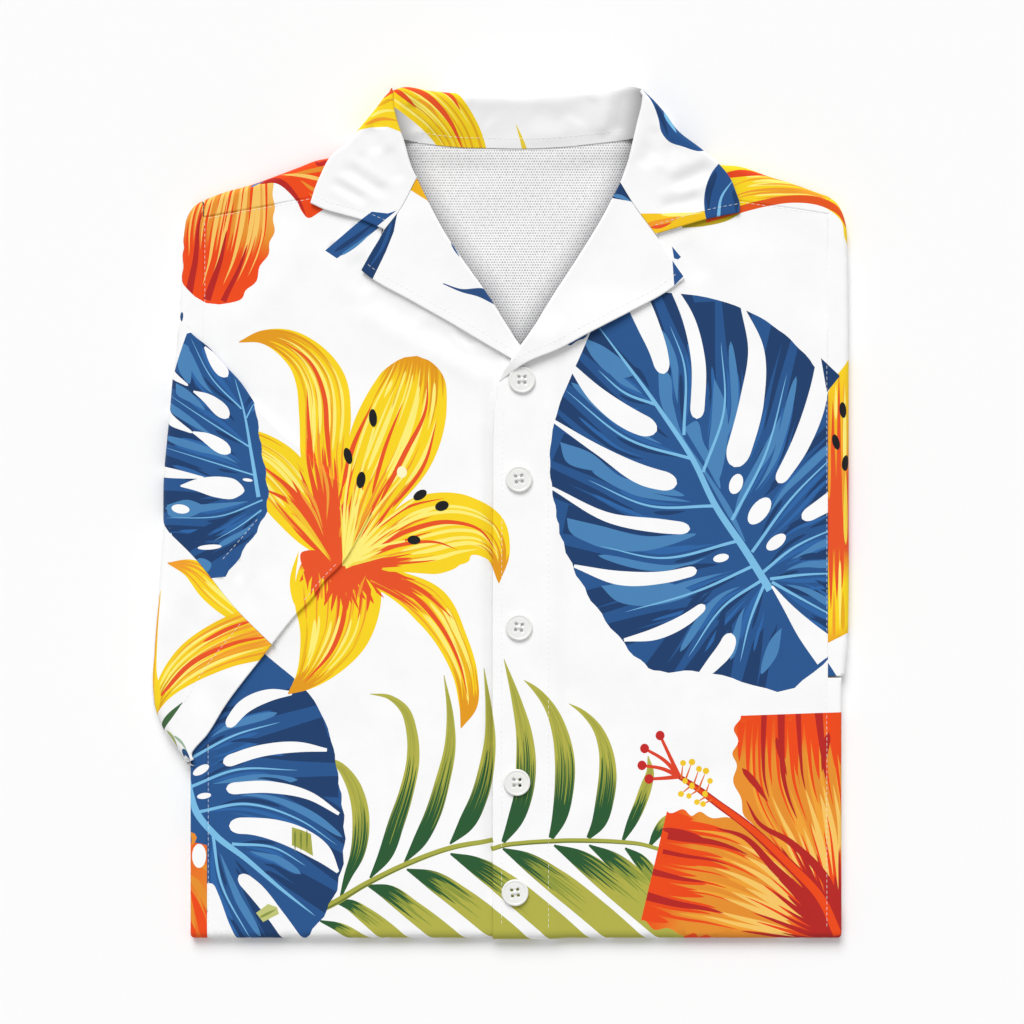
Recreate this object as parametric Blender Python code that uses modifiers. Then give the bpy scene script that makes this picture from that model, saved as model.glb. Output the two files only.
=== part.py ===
"""A short-sleeved aloha shirt with a camp collar, buttoned and folded, lying face up on a flat
surface. +Z is up and +Y runs from the hem fold to the collar. The origin is on the surface,
under the middle of the folded shirt. The wearer's right is at -X.

The tail is turned up behind, so both fronts run round the fold at the bottom and back along
the underside. The wearer's right sleeve is folded forward over the front, the wearer's left
sleeve is folded behind. Every piece that shows is a wall of cloth of its own. The layers
inside the stack share one solid with layered edges."""

import math
from collections import namedtuple

import bmesh
import bpy
from mathutils import Vector

for old in list(bpy.data.objects):
    bpy.data.objects.remove(old, do_unlink=True)

# Driving dimensions, in millimetres.
MM = 0.001
CLOTH = 1.2  # one ply with the air that it holds
COLLAR_CLOTH = 1.6  # collar and lapels: two plies and interfacing
GAP = 0.3  # between two pieces that touch
STACK = 8.6  # height of a front where it lies flat
PUFF = 0.8  # how far a front rises between its seams
PUFF_WIDTH = 40.0  # how far from a seam it takes to rise
LAP_RAMP = 12.0  # where the upper front climbs onto the lower one
FOLD_Y = -272.5  # the fold at the bottom
TAIL_HEM_Y = -107.0  # hem of the turned-up tail, on the underside
FACING_X = 30.7  # how far the lower front reaches under the upper one
FRONT_EDGE_X = -5.4  # the upper front's edge
V_BOTTOM_Y = 106.9  # where the roll lines cross
SIDE_SEAM_X = {"right": -188.2, "left": 209.3}
SIDE_FOLD_X = {"right": -199.0, "left": 218.2}
SIDE_TOP_Y = {"right": -150.0, "left": -105.5}
UNDER_LEG = 5.0  # how far a wrapped edge runs in along the surface
BUTTON_RADIUS = 8.6
BUTTON_HEIGHT = 2.4
BUTTON_RIM = 1.3
BUTTON_HOLE_RADIUS = 0.9
BUTTON_HOLE_SPACING = 3.8
LAP = CLOTH + GAP
FOLD_RADIUS = STACK / 2
FOLD_TANGENT_Y = FOLD_Y + FOLD_RADIUS

Section = namedtuple("Section", "inner_x inner_y outer_x outer_y")
LeafRow = namedtuple("LeafRow", "inner_x inner_y outer_x outer_y bow lift drop")
LapelRow = namedtuple("LapelRow", "roll_x roll_y edge_x edge_y roll_lift edge_lift")
Crease = namedtuple("Crease", "x0 y0 x1 y1 half_width depth")
Button = namedtuple("Button", "x y")
Level = namedtuple("Level", "z inset")

# Upper front (wearer's left): roll line and front edge, then armhole and side seam.
FRONT_LEFT = [
    Section(76.6, 210.6, 209.3, 191.1),
    Section(63.8, 186.5, 209.3, 163.0),
    Section(48.4, 161.5, 209.3, 138.0),
    Section(31.8, 135.9, 209.3, 115.0),
    Section(20.9, 118.0, 209.3, 98.0),
    Section(12.8, 106.5, 209.3, 87.0),
    Section(6.8, 97.5, 209.3, 78.0),
    Section(-0.6, 84.2, 209.3, 68.0),
    Section(-3.8, 69.1, 209.3, 54.0),
    Section(-4.8, 45.0, 209.3, 32.0),
    Section(-5.1, 8.3, 209.3, 0.0),
    Section(-5.4, -55.7, 209.3, -60.0),
    Section(-5.4, -140.0, 209.3, -140.0),
    Section(-5.4, FOLD_TANGENT_Y, 209.3, FOLD_TANGENT_Y),
]
# Lower front (wearer's right): roll line and hidden edge, then armhole and side seam.
FRONT_RIGHT = [
    Section(-54.2, 213.6, -190.3, 189.0),
    Section(-45.8, 197.1, -190.3, 168.0),
    Section(-35.0, 177.3, -190.3, 149.0),
    Section(-21.5, 157.4, -190.3, 131.0),
    Section(-8.7, 139.5, -190.3, 115.0),
    Section(2.2, 122.2, -190.3, 100.0),
    Section(11.6, 107.6, -190.3, 86.0),
    Section(22.0, 96.0, -190.3, 76.0),
    Section(30.7, 80.0, -190.3, 64.0),
    Section(30.7, 40.0, -190.3, 32.0),
    Section(30.7, -20.0, -190.3, -20.0),
    Section(30.7, -90.0, -189.0, -90.0),
    Section(30.7, -150.0, -188.2, -150.0),
    Section(30.7, FOLD_TANGENT_Y, -188.2, FOLD_TANGENT_Y),
]
# Back, rolled to the front before each shoulder seam: the seam, then the shoulder's top.
YOKE_LEFT = [
    Section(100.0, 207.8, 100.0, 233.0),
    Section(120.0, 204.8, 120.0, 228.0),
    Section(140.0, 201.8, 140.0, 222.9),
    Section(153.0, 199.9, 153.0, 221.8),
    Section(172.2, 197.0, 172.2, 215.7),
    Section(188.8, 194.6, 188.8, 210.6),
    Section(200.3, 192.9, 200.3, 206.4),
    Section(209.0, 191.5, 209.0, 203.1),
]
YOKE_RIGHT = [
    Section(-86.0, 208.4, -86.0, 236.0),
    Section(-109.4, 204.2, -109.4, 227.5),
    Section(-128.6, 200.7, -128.6, 222.1),
    Section(-143.8, 198.0, -143.8, 216.3),
    Section(-159.8, 195.1, -159.8, 210.6),
    Section(-175.0, 192.4, -175.0, 206.4),
    Section(-190.1, 189.4, -190.1, 200.6),
]
# Sleeves: the armhole seam, then the fold that the sleeve makes beside the body.
SLEEVE_LEFT = [
    Section(209.7, 192.0, 209.7, 203.0),
    Section(209.7, 188.0, 214.6, 199.6),
    Section(209.7, 183.0, 218.4, 193.9),
    Section(209.7, 177.0, 221.2, 184.5),
    Section(209.7, 168.0, 222.2, 170.9),
    Section(209.7, 136.0, 222.8, 136.3),
    Section(209.7, 72.0, 223.0, 72.0),
    Section(209.7, 0.0, 223.0, 0.0),
    Section(209.7, -56.0, 223.0, -56.0),
    Section(209.7, -86.0, 222.2, -86.0),
    Section(209.7, -104.3, 220.4, -104.3),
]
SLEEVE_CAP_RIGHT = [
    Section(-190.7, 189.6, -190.7, 200.5),
    Section(-190.7, 185.0, -196.6, 197.0),
    Section(-190.7, 179.0, -201.2, 190.1),
    Section(-190.7, 172.0, -203.5, 178.0),
    Section(-190.7, 160.0, -204.5, 162.6),
    Section(-190.7, 142.0, -205.4, 142.0),
    Section(-190.7, 124.8, -206.1, 124.8),
]
# The stretch folded over the front, above its underarm seam: the left fold, then the hem.
SLEEVE_BACK_RIGHT = [
    Section(-206.1, 124.2, -205.6, 123.8),
    Section(-208.3, 104.0, -173.5, 88.5),
    Section(-210.3, 85.1, -147.2, 59.5),
    Section(-212.6, 62.0, -115.9, 31.2),
    Section(-214.4, 42.0, -82.6, 0.6),
    Section(-215.9, 24.0, -103.9, -28.8),
    Section(-216.3, 7.0, -125.2, -57.0),
    Section(-216.3, -9.0, -146.2, -84.2),
]
# The stretch below that seam, down to where the hem ends on the fold.
SLEEVE_FRONT_RIGHT = [
    Section(-216.5, -9.5, -146.6, -84.8),
    Section(-218.2, -32.0, -158.0, -100.5),
    Section(-220.6, -62.0, -168.5, -114.5),
    Section(-223.0, -95.0, -178.5, -128.0),
    Section(-222.4, -122.0, -187.0, -139.5),
    Section(-217.4, -139.0, -193.0, -147.5),
    Section(-209.4, -150.0, -197.0, -153.4),
    Section(-202.4, -160.4, -198.6, -156.0),
]
COLLAR_BAND = [
    Section(-61.4, 237.6, -68.0, 269.8),
    Section(-56.0, 236.8, -60.0, 271.4),
    Section(-44.8, 235.4, -46.0, 269.8),
    Section(-25.1, 233.6, -25.0, 268.1),
    Section(11.0, 233.0, 12.0, 266.9),
    Section(37.8, 233.8, 38.5, 268.8),
    Section(63.4, 236.2, 66.0, 270.9),
    Section(77.0, 237.6, 81.0, 272.3),
    Section(83.9, 238.4, 88.9, 270.4),
]
COLLAR_LEAF_LEFT = [
    LeafRow(76.5, 211.5, 90.3, 269.0, 1.2, 4.4, 14.0),
    LeafRow(80.2, 206.0, 101.0, 259.5, 1.0, 3.6, 13.0),
    LeafRow(84.6, 199.3, 112.6, 245.6, 0.6, 2.6, 12.0),
    LeafRow(89.0, 192.6, 124.5, 235.6, 0.3, 2.0, 10.0),
    LeafRow(92.8, 187.1, 137.5, 224.9, 0.0, 1.6, 3.4),
    LeafRow(96.2, 182.1, 147.4, 212.4, 0.0, 1.2, 0.6),
    LeafRow(98.9, 178.4, 152.2, 192.2, 0.4, 0.9, 0.5),
]
COLLAR_LEAF_RIGHT = [
    LeafRow(-54.1, 214.8, -68.9, 269.0, -1.4, 4.4, 14.0),
    LeafRow(-58.2, 208.2, -80.0, 258.4, -1.0, 3.6, 13.0),
    LeafRow(-62.3, 201.6, -91.2, 245.4, -0.6, 2.6, 12.0),
    LeafRow(-66.3, 195.1, -100.6, 235.4, -0.3, 2.0, 10.0),
    LeafRow(-69.6, 189.7, -109.8, 226.6, 0.0, 1.6, 3.4),
    LeafRow(-72.4, 185.1, -117.2, 212.5, 0.0, 1.2, 0.6),
    LeafRow(-74.6, 181.6, -121.6, 198.1, -0.6, 0.9, 0.5),
]
# Lapels, from the gorge to where the roll line ends. The tip is a row of its own.
LAPEL_LEFT = [
    LapelRow(76.2, 211.0, 98.4, 177.9, 1.4, 0.6),
    LapelRow(63.4, 186.9, 110.1, 160.6, 1.4, 0.9),
    LapelRow(52.5, 169.0, 117.6, 150.4, 1.4, 1.0),
    LapelRow(43.0, 154.0, 105.0, 140.8, 1.4, 1.4),
    LapelRow(33.0, 138.8, 82.6, 128.6, 1.4, 2.0),
    LapelRow(22.6, 121.8, 53.1, 113.3, 1.6, 2.6),
    LapelRow(14.6, 110.0, 34.0, 103.4, 2.0, 2.8),
    LapelRow(8.8, 101.4, 20.4, 97.3, 2.6, 2.9),
    LapelRow(3.6, 93.0, 10.6, 92.2, 2.9, 2.9),
]
LAPEL_RIGHT = [
    LapelRow(-53.8, 214.2, -74.2, 181.1, 1.4, 0.6),
    LapelRow(-49.6, 205.6, -81.0, 171.0, 1.4, 0.8),
    LapelRow(-45.4, 197.1, -88.4, 160.4, 1.4, 0.9),
    LapelRow(-40.0, 187.2, -89.6, 154.4, 1.4, 1.0),
    LapelRow(-34.6, 177.3, -82.6, 149.8, 1.4, 1.0),
    LapelRow(-24.0, 161.6, -66.0, 140.4, 1.4, 1.1),
    LapelRow(-12.0, 144.6, -46.0, 129.1, 1.4, 1.2),
    LapelRow(-2.0, 129.7, -26.0, 117.6, 1.2, 1.2),
    LapelRow(5.0, 118.4, -9.0, 107.4, 0.9, 1.0),
    LapelRow(11.6, 107.6, 5.9, 98.3, 0.6, 0.8),
]
# The back's inside in the neck opening, by height: wearer's right side, then left side.
NECK_OPENING = [
    Section(-64.0, 241.5, 86.6, 241.5),
    Section(-60.0, 226.0, 82.6, 226.0),
    Section(-51.5, 207.0, 75.5, 207.0),
    Section(-40.6, 186.0, 64.6, 186.0),
    Section(-28.6, 167.0, 53.0, 167.0),
    Section(-13.6, 145.0, 38.4, 145.0),
    Section(0.6, 124.0, 25.0, 124.0),
    Section(11.4, 108.4, 13.4, 108.4),
]
CREASES = [
    Crease(-84.0, 163.0, -58.0, 128.0, 13.0, 0.6),
    Crease(-58.0, 128.0, -8.0, 90.0, 13.0, 0.7),
    Crease(-17.0, 78.0, -17.0, -50.0, 10.0, 0.5),
    Crease(150.0, 150.0, 196.0, 186.0, 18.0, 0.5),
]
BUTTONS = [
    Button(13.4, 85.1),
    Button(11.5, 21.8),
    Button(11.5, -73.0),
    Button(10.2, -172.2),
    Button(9.0, -242.6),
]
# Inner layers: an outline for the whole stack, and one for what lies under the tail's hem.
UPPER_OUTLINE = [
    (-190.5, -267.0), (-190.5, -102.0), (-198.0, -96.0), (-198.5, 150.0), (-197.0, 180.0),
    (-188.0, 191.5), (-170.0, 199.0), (-140.0, 207.5), (-112.0, 215.0), (-96.0, 221.0),
    (-84.0, 226.0), (-82.0, 238.0), (-72.0, 250.0), (-60.0, 259.0), (-20.0, 257.0),
    (12.0, 256.0), (45.0, 257.0), (80.0, 260.0), (88.0, 252.0), (95.0, 238.0), (98.0, 226.5),
    (112.0, 223.0), (138.0, 214.0), (170.0, 206.0), (195.0, 198.0), (210.0, 190.0),
    (213.5, 172.0), (211.5, -100.0), (209.0, -104.0), (209.0, -267.0),
]  # fmt: skip
LOWER_OUTLINE = [
    (-186.0, -104.0), (-193.0, 150.0), (-190.0, 176.0), (-175.0, 190.0), (-140.0, 200.0),
    (-108.0, 207.0), (-84.0, 218.0), (-72.0, 242.0), (-56.0, 252.0), (12.0, 250.0),
    (76.0, 253.0), (86.0, 243.0), (95.0, 223.0), (108.0, 218.0), (136.0, 208.0),
    (170.0, 199.0), (195.0, 190.0), (206.0, 182.0), (208.5, 168.0), (206.0, -104.0),
]  # fmt: skip
# One layer's edge, as shares of its height: a groove, a round edge and the next groove.
LAYER_EDGE = [Level(0.0, 1.0), Level(0.22, 0.2), Level(0.78, 0.2), Level(1.0, 1.0)]
STRAIGHT_EDGE = [Level(0.0, 0.0), Level(1.0, 0.0)]
UPPER_BOTTOM, UPPER_TOP, UPPER_LAYERS = 3.0, STACK - CLOTH - GAP, 3
LOWER_TOP, LOWER_LAYERS = 3.5, 2

model = bpy.data.collections.new("hawaiian_shirt")
cutters = bpy.data.collections.new("cutters")
for collection in (model, cutters):
    bpy.context.scene.collection.children.link(collection)


def fabric(name, colour, roughness):
    """A cloth or button material: its colour in linear values."""
    made = bpy.data.materials.new(name)
    made.use_nodes = True
    shader = made.node_tree.nodes["Principled BSDF"]
    shader.inputs["Base Color"].default_value = (*colour, 1.0)
    shader.inputs["Roughness"].default_value = roughness
    return made


PRINTED = fabric("printed_cloth", (0.86, 0.87, 0.88), 0.75)
INSIDE = fabric("cloth_inside", (0.62, 0.62, 0.62), 0.85)
HARD = fabric("button_white", (0.80, 0.80, 0.78), 0.35)


def smooth(share):
    """0 to 1 with level ends."""
    share = min(max(share, 0.0), 1.0)
    return share * share * (3 - 2 * share)


def shares(count):
    return [k / count for k in range(count + 1)]


def refine(table, longest):
    """The table's rows, with rows added between them so that no two are further apart than
    longest, by a cubic through the rows that never passes its neighbours' values."""
    rows = [table[0]]
    for k in range(len(table) - 1):
        before, here, there, after = (
            table[max(k - 1, 0)], table[k], table[k + 1], table[min(k + 2, len(table) - 1)]
        )  # fmt: skip
        length = max(math.dist(here[:2], there[:2]), math.dist(here[2:4], there[2:4]))
        steps = max(1, math.ceil(length / longest))
        for step in range(1, steps + 1):
            t = step / steps
            row = []
            for a, b, c, d in zip(before, here, there, after):
                leaving = 0.5 * (c - a) if (b - a) * (c - b) > 0 else 0.0
                arriving = 0.5 * (d - b) if (c - b) * (d - c) > 0 else 0.0
                limit = 3 * abs(c - b)
                leaving = max(-limit, min(limit, leaving))
                arriving = max(-limit, min(limit, arriving))
                row.append(
                    b * (2 * t**3 - 3 * t**2 + 1) + leaving * (t**3 - 2 * t**2 + t)
                    + c * (3 * t**2 - 2 * t**3) + arriving * (t**3 - t**2)
                )  # fmt: skip
            rows.append(type(here)(*row))
    return rows


def shoulder_seam_y(x):
    return 222.0 - 0.16 * abs(x - 11.0)


def rise(x, y):
    """How far a front stands above STACK: nothing at its seams, PUFF away from them."""
    sides = smooth((x - SIDE_SEAM_X["right"]) / PUFF_WIDTH)
    sides *= smooth((SIDE_SEAM_X["left"] - x) / PUFF_WIDTH)
    ends = smooth((y - FOLD_TANGENT_Y) / PUFF_WIDTH)
    ends *= smooth((shoulder_seam_y(x) - y) / PUFF_WIDTH)
    return PUFF * sides * ends


def crease_depth(x, y):
    """How deep the creases press the cloth at this place."""
    deepest = 0.0
    for crease in CREASES:
        start = Vector((crease.x0, crease.y0))
        run = Vector((crease.x1, crease.y1)) - start
        share = min(max((Vector((x, y)) - start).dot(run) / run.length_squared, 0.0), 1.0)
        off = (Vector((x, y)) - start - run * share).length
        deepest = max(deepest, crease.depth * smooth(1 - off / crease.half_width))
    return min(deepest, rise(x, y))


def lap(x, y):
    """How far the upper front climbs where the lower front lies under it."""
    across = smooth((FACING_X + 1.0 + LAP_RAMP - x) / LAP_RAMP)
    return LAP * across * smooth((V_BOTTOM_Y + 23.0 - y) / 20.0)


def plane(x, y):
    """Height of the cloth on top of the stack, without its creases."""
    return STACK + rise(x, y) + (lap(x, y) if x > FRONT_EDGE_X - 1 else 0.0)


def shell(name, grid, wall, material, collection=model):
    """A wall of cloth whose outer face runs through the grid's points, millimetres."""
    rows, columns = len(grid), len(grid[0])
    points = [Vector(p) * MM for row in grid for p in row]
    faces = []
    for j in range(rows - 1):
        for i in range(columns - 1):
            a = j * columns + i
            faces.append((a, a + 1, a + columns + 1, a + columns))
    mesh = bpy.data.meshes.new(name)
    mesh.from_pydata(points, [], faces)
    mesh.validate()
    edit = bmesh.new()
    edit.from_mesh(mesh)
    bmesh.ops.remove_doubles(edit, verts=edit.verts, dist=0.02 * MM)
    edit.normal_update()
    # The widest, highest face shows which side of the cloth is out.
    top = max(edit.faces, key=lambda f: f.calc_center_median().z * f.calc_area() * abs(f.normal.z))
    if top.normal.z < 0:
        bmesh.ops.reverse_faces(edit, faces=edit.faces)
    edit.to_mesh(mesh)
    edit.free()
    mesh.materials.append(material)
    mesh.shade_smooth()
    piece = bpy.data.objects.new(name, mesh)
    collection.objects.link(piece)
    wall_of = piece.modifiers.new("wall", "SOLIDIFY")
    wall_of.thickness = wall * MM
    wall_of.offset = -1.0
    wall_of.use_even_offset = True
    return piece


def round_under(nose, inward, top, bottom, steps=5):
    """The points of an edge that turns down at nose, half round, and runs in underneath."""
    radius = (top - bottom) / 2
    points = []
    for k in range(1, steps + 1):
        angle = math.pi * k / steps
        at = nose + inward * radius * (1 - math.sin(angle))
        points.append((at.x, at.y, (top + bottom) / 2 + radius * math.cos(angle)))
    under = nose + inward * (radius + UNDER_LEG)
    points.append((under.x, under.y, bottom))
    return points


def round_down(nose, inward, top, drop, radius, steps=5):
    """The points of an edge that bends down at nose until it has dropped by drop. It ends
    upright when the drop is more than its radius."""
    last = math.acos(max(0.0, 1 - drop / radius))
    bends = steps - 1 if drop > radius else steps
    points = []
    for k in range(1, bends + 1):
        angle = last * k / bends
        at = nose + inward * radius * (math.sin(last) - math.sin(angle))
        points.append((at.x, at.y, top - radius * (1 - math.cos(angle))))
    if bends < steps:
        points.append((nose.x, nose.y, top - drop))
    return points


def bend_reach(drop, radius):
    """How far before its nose such an edge starts to bend."""
    return radius * math.sin(math.acos(max(0.0, 1 - drop / radius)))


def front(name, table, longest, across, fold_bottom):
    """A front: from the shoulder seam down to the fold, round it and up to the tail's hem.
    across holds the shares of its width, fold_bottom the height of its underside."""
    top = plane if name == "front_left" else (lambda x, y: STACK + rise(x, y))
    grid = []
    for row in refine(table, longest):
        points = []
        for share in across:
            x = row.inner_x + (row.outer_x - row.inner_x) * share
            y = row.inner_y + (row.outer_y - row.inner_y) * share
            points.append((x, y, top(x, y) - crease_depth(x, y)))
        grid.append(points)
    last = grid[-1]
    for k in range(1, 8):
        angle = math.pi * k / 7
        points = []
        for x, y, z in last:
            radius = (z - fold_bottom(x)) / 2
            points.append((x, y - radius * math.sin(angle), z - radius * (1 - math.cos(angle))))
        grid.append(points)
    for y in (-230.0, -170.0, TAIL_HEM_Y):
        grid.append([(x, y, fold_bottom(x)) for x, _, _ in last])
    return shell(name, grid, CLOTH, PRINTED)


def wrapped_strip(name, table, longest, columns, wall=CLOTH, material=PRINTED):
    """A strip from a seam out to the edge of the stack, and round that edge to the surface."""
    grid = []
    for row in refine(table, longest):
        seam = Vector((row.inner_x, row.inner_y))
        nose = Vector((row.outer_x, row.outer_y))
        inward = (seam - nose).normalized()
        tangent = nose + inward * FOLD_RADIUS
        points = []
        for share in shares(columns):
            at = seam.lerp(tangent, share)
            points.append((at.x, at.y, STACK))
        grid.append(points + round_under(nose, inward, STACK, 0.0))
    return shell(name, grid, wall, material)


def side_fold(name, side):
    """The back where it wraps round the side: a pressed fold along the front's pack, round
    the fold at the bottom and along the tail's pack."""
    seam, nose = SIDE_SEAM_X[side], SIDE_FOLD_X[side]
    inward = math.copysign(1.0, seam - nose)
    seam -= inward * 0.35
    half = FOLD_RADIUS / 2 - 0.1
    middle = FOLD_RADIUS - half
    section = [(seam, half), (seam * 0.5 + (nose + inward * half) * 0.5, half)]
    for k in range(6):
        angle = math.pi * k / 5
        section.append((nose + inward * half * (1 - math.sin(angle)), half * math.cos(angle)))
    section.append((nose + inward * (half + 3.5), -half))
    path = [(y, middle, 0.0) for y in (SIDE_TOP_Y[side], -190.0, -235.0)]
    path += [(FOLD_TANGENT_Y, middle, math.pi * k / 6) for k in range(7)]
    path += [(y, middle, math.pi) for y in (-235.0, -190.0, TAIL_HEM_Y)]
    grid = []
    for y, reach, turn in path:
        points = []
        for x, out in section:
            along_y = y - (reach + out) * math.sin(turn)
            points.append((x, along_y, FOLD_RADIUS + (reach + out) * math.cos(turn)))
        grid.append(points)
    return shell(name, grid, CLOTH, PRINTED)


def sleeve_height(x, y):
    """Top of the sleeve that lies folded over the front: two plies."""
    return STACK + rise(x, y) + 2 * LAP


def folded_sleeve(name, table, longest, columns):
    """A stretch of the sleeve on top of the front. At its fold, where each row of the table
    starts, it turns down to the surface beside the body. A row ends on the crease or hem."""
    grid = []
    for row in refine(table, longest):
        nose = Vector((row.inner_x, row.inner_y))
        far = Vector((row.outer_x, row.outer_y))
        inward = (far - nose).normalized()
        top = sleeve_height(nose.x, nose.y)
        radius = min(top / 2, (far - nose).length)
        tucked = smooth((nose.y + 145.0) / 25.0)
        tangent = nose + inward * radius
        points = []
        for share in shares(columns):
            at = far.lerp(tangent, share)
            points.append((at.x, at.y, sleeve_height(at.x, at.y)))
        for k in range(1, 7):
            angle = math.pi * k / 6
            at = nose + inward * radius * (1 - math.sin(angle)) * (tucked if k > 3 else 1.0)
            points.append((at.x, at.y, top / 2 * (1 + math.cos(angle))))
        grid.append(points)
    return shell(name, grid, CLOTH, PRINTED)


def sleeve_underside():
    """The sleeve's far side, between the front and what shows of the sleeve."""
    grid = []
    for row in refine(SLEEVE_BACK_RIGHT[1:-1] + SLEEVE_FRONT_RIGHT[:-2], 26.0):
        nose = Vector((row.inner_x, row.inner_y))
        far = Vector((row.outer_x, row.outer_y))
        inward = (far - nose).normalized()
        near, end = nose + inward * 9.0, far - inward * 2.0
        points = []
        for share in shares(5):
            at = near.lerp(end, share)
            points.append((at.x, at.y, STACK + rise(at.x, at.y) + LAP))
        grid.append(points)
    return shell("sleeve_right_underside", grid, CLOTH, PRINTED)


def collar_leaf(name, table):
    """A collar leaf: from its rolled inner edge to its free bottom edge, and from the gorge
    to the side where it turns down past the shoulder or ends on it."""
    roll_reach, roll_drop = 2.4, 4.0
    rows = refine(table, 13.0)
    near_roll = [0.0, 0.25, 1.0]  # shares of roll_reach
    first, second = rows[0], rows[1]
    step = math.dist(first[:2], second[:2]) + math.dist(first[2:4], second[2:4])
    reach = 2 * roll_reach / step
    lip = [type(first)(*(a + (b - a) * reach * k for a, b in zip(first, second))) for k in near_roll]
    grid = []
    for number, row in enumerate(lip + rows[1:]):
        gorge = Vector((row.inner_x, row.inner_y))
        nose = Vector((row.outer_x, row.outer_y))
        inward = (gorge - nose).normalized()
        sideways = Vector((inward.y, -inward.x))
        fallen = 0.0
        if number < len(near_roll):
            off = 1 - near_roll[number]
            fallen = roll_drop * (1 - math.sqrt(1 - off * off))
        tangent = nose + inward * bend_reach(row.drop, 4.0)
        points = []
        for share in shares(8):
            at = gorge.lerp(tangent, share) - sideways * row.bow * 4 * share * (1 - share)
            lift = row.lift * (0.45 + 0.55 * share) - fallen * smooth((1 - share) / 0.4)
            points.append((at.x, at.y, STACK + rise(at.x, at.y) + GAP + COLLAR_CLOTH + lift))
        top = points[-1][2]
        drop = min(row.drop, top - 0.4)
        grid.append(points + round_down(nose, inward, top, drop, 4.0))
    return shell(name, grid, COLLAR_CLOTH, PRINTED)


def collar_band():
    """The collar's stand inside the neck, its roll at the top and the fall behind it."""
    seam_height, crest = 7.95, 15.0
    grid = []
    for row in refine(COLLAR_BAND, 16.0):
        seam = Vector((row.inner_x, row.inner_y))
        nose = Vector((row.outer_x, row.outer_y))
        inward = (seam - nose).normalized()
        tangent = nose + inward * 4.0
        points = []
        for share in shares(5):
            at = seam.lerp(tangent, share)
            points.append((at.x, at.y, seam_height + (crest - seam_height) * share**0.8))
        grid.append(points + round_down(nose, inward, crest, crest - 0.4, 4.0, 6))
    return shell("collar_band", grid, COLLAR_CLOTH, PRINTED)


def lapel(name, table, under):
    """The facing, turned out from the roll line over its front."""
    roll_shares = [0.0, 0.25, 1.0]
    grid = []
    for row in table:
        roll = Vector((row.roll_x, row.roll_y))
        edge = Vector((row.edge_x, row.edge_y))
        width = (edge - roll).length
        reach = min(2.4, width * 0.5)
        stations = [reach * k / width for k in roll_shares]
        stations += [stations[-1] + (1 - stations[-1]) * k for k in shares(6)[1:]]
        points = []
        for number, share in enumerate(stations):
            at = roll.lerp(edge, share)
            height = under(at.x, at.y) + GAP + COLLAR_CLOTH + row.roll_lift
            height += (row.edge_lift - row.roll_lift) * smooth(share)
            if number < 2:
                off = 1 - roll_shares[number]
                height -= (row.roll_lift + COLLAR_CLOTH - 0.5) * (1 - math.sqrt(1 - off * off))
            points.append((at.x, at.y, height))
        grid.append(points)
    return shell(name, grid, COLLAR_CLOTH, PRINTED)


def slab(name, outline, bottom, top, layers, edge=LAYER_EDGE, collection=model):
    """A solid over the outline, its sides layered like the edges of folded cloth."""
    corners = [Vector(p) for p in outline]
    count = len(corners)
    outwards = []
    for k in range(count):
        run = (corners[(k + 1) % count] - corners[k - 1]).normalized()
        outwards.append(Vector((-run.y, run.x)))
    levels = []
    height = (top - bottom) / layers
    for layer in range(layers):
        for level in edge[:-1]:
            levels.append(Level(bottom + height * (layer + level.z), level.inset))
    levels.append(Level(top, edge[-1].inset))
    edit = bmesh.new()
    rings = []
    for level in levels:
        ring = []
        for corner, out in zip(corners, outwards):
            at = corner - out * level.inset
            ring.append(edit.verts.new(Vector((at.x, at.y, level.z)) * MM))
        rings.append(ring)
    for lower, upper in zip(rings, rings[1:]):
        for k in range(count):
            n = (k + 1) % count
            edit.faces.new((lower[k], upper[k], upper[n], lower[n]))
    edit.faces.new(rings[0])
    edit.faces.new(reversed(rings[-1]))
    bmesh.ops.recalc_face_normals(edit, faces=edit.faces)
    mesh = bpy.data.meshes.new(name)
    edit.to_mesh(mesh)
    edit.free()
    mesh.materials.append(INSIDE)
    piece = bpy.data.objects.new(name, mesh)
    collection.objects.link(piece)
    return piece


def cutter(piece):
    piece.hide_render = True
    piece.display_type = "WIRE"
    return piece


def join(piece, other, how):
    modifier = piece.modifiers.new(how.lower(), "BOOLEAN")
    modifier.operation = how
    modifier.object = other


def hidden_layers():
    """What lies inside the stack: one solid, recessed where the neck opens to the back."""
    piece = slab("hidden_layers", UPPER_OUTLINE, UPPER_BOTTOM, UPPER_TOP, UPPER_LAYERS)
    lower = slab("layers_below", LOWER_OUTLINE, 0.0, LOWER_TOP, LOWER_LAYERS, LAYER_EDGE, cutters)
    join(piece, cutter(lower), "UNION")
    opening = [(row.inner_x - 1.0, row.inner_y) for row in reversed(NECK_OPENING)]
    opening += [(row.outer_x + 1.0, row.outer_y) for row in NECK_OPENING]
    opening = [(x, y + (3.5 if y > 240 else 0.0) - (2.0 if y < 109 else 0.0)) for x, y in opening]
    recess = slab("neck_recess", opening, NECK_FLOOR, UPPER_TOP + 4.0, 1, STRAIGHT_EDGE, cutters)
    join(piece, cutter(recess), "DIFFERENCE")
    return piece


NECK_FLOOR = 4.5


def back_neck():
    """The back's inside, seen in the neck opening."""
    grid = []
    for row in refine(NECK_OPENING, 16.0):
        points = []
        for share in shares(8):
            x = row.inner_x + (row.outer_x - row.inner_x) * share
            points.append((x, row.inner_y, NECK_FLOOR + GAP + CLOTH))
        grid.append(points)
    return shell("back_neck", grid, CLOTH, INSIDE)


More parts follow.
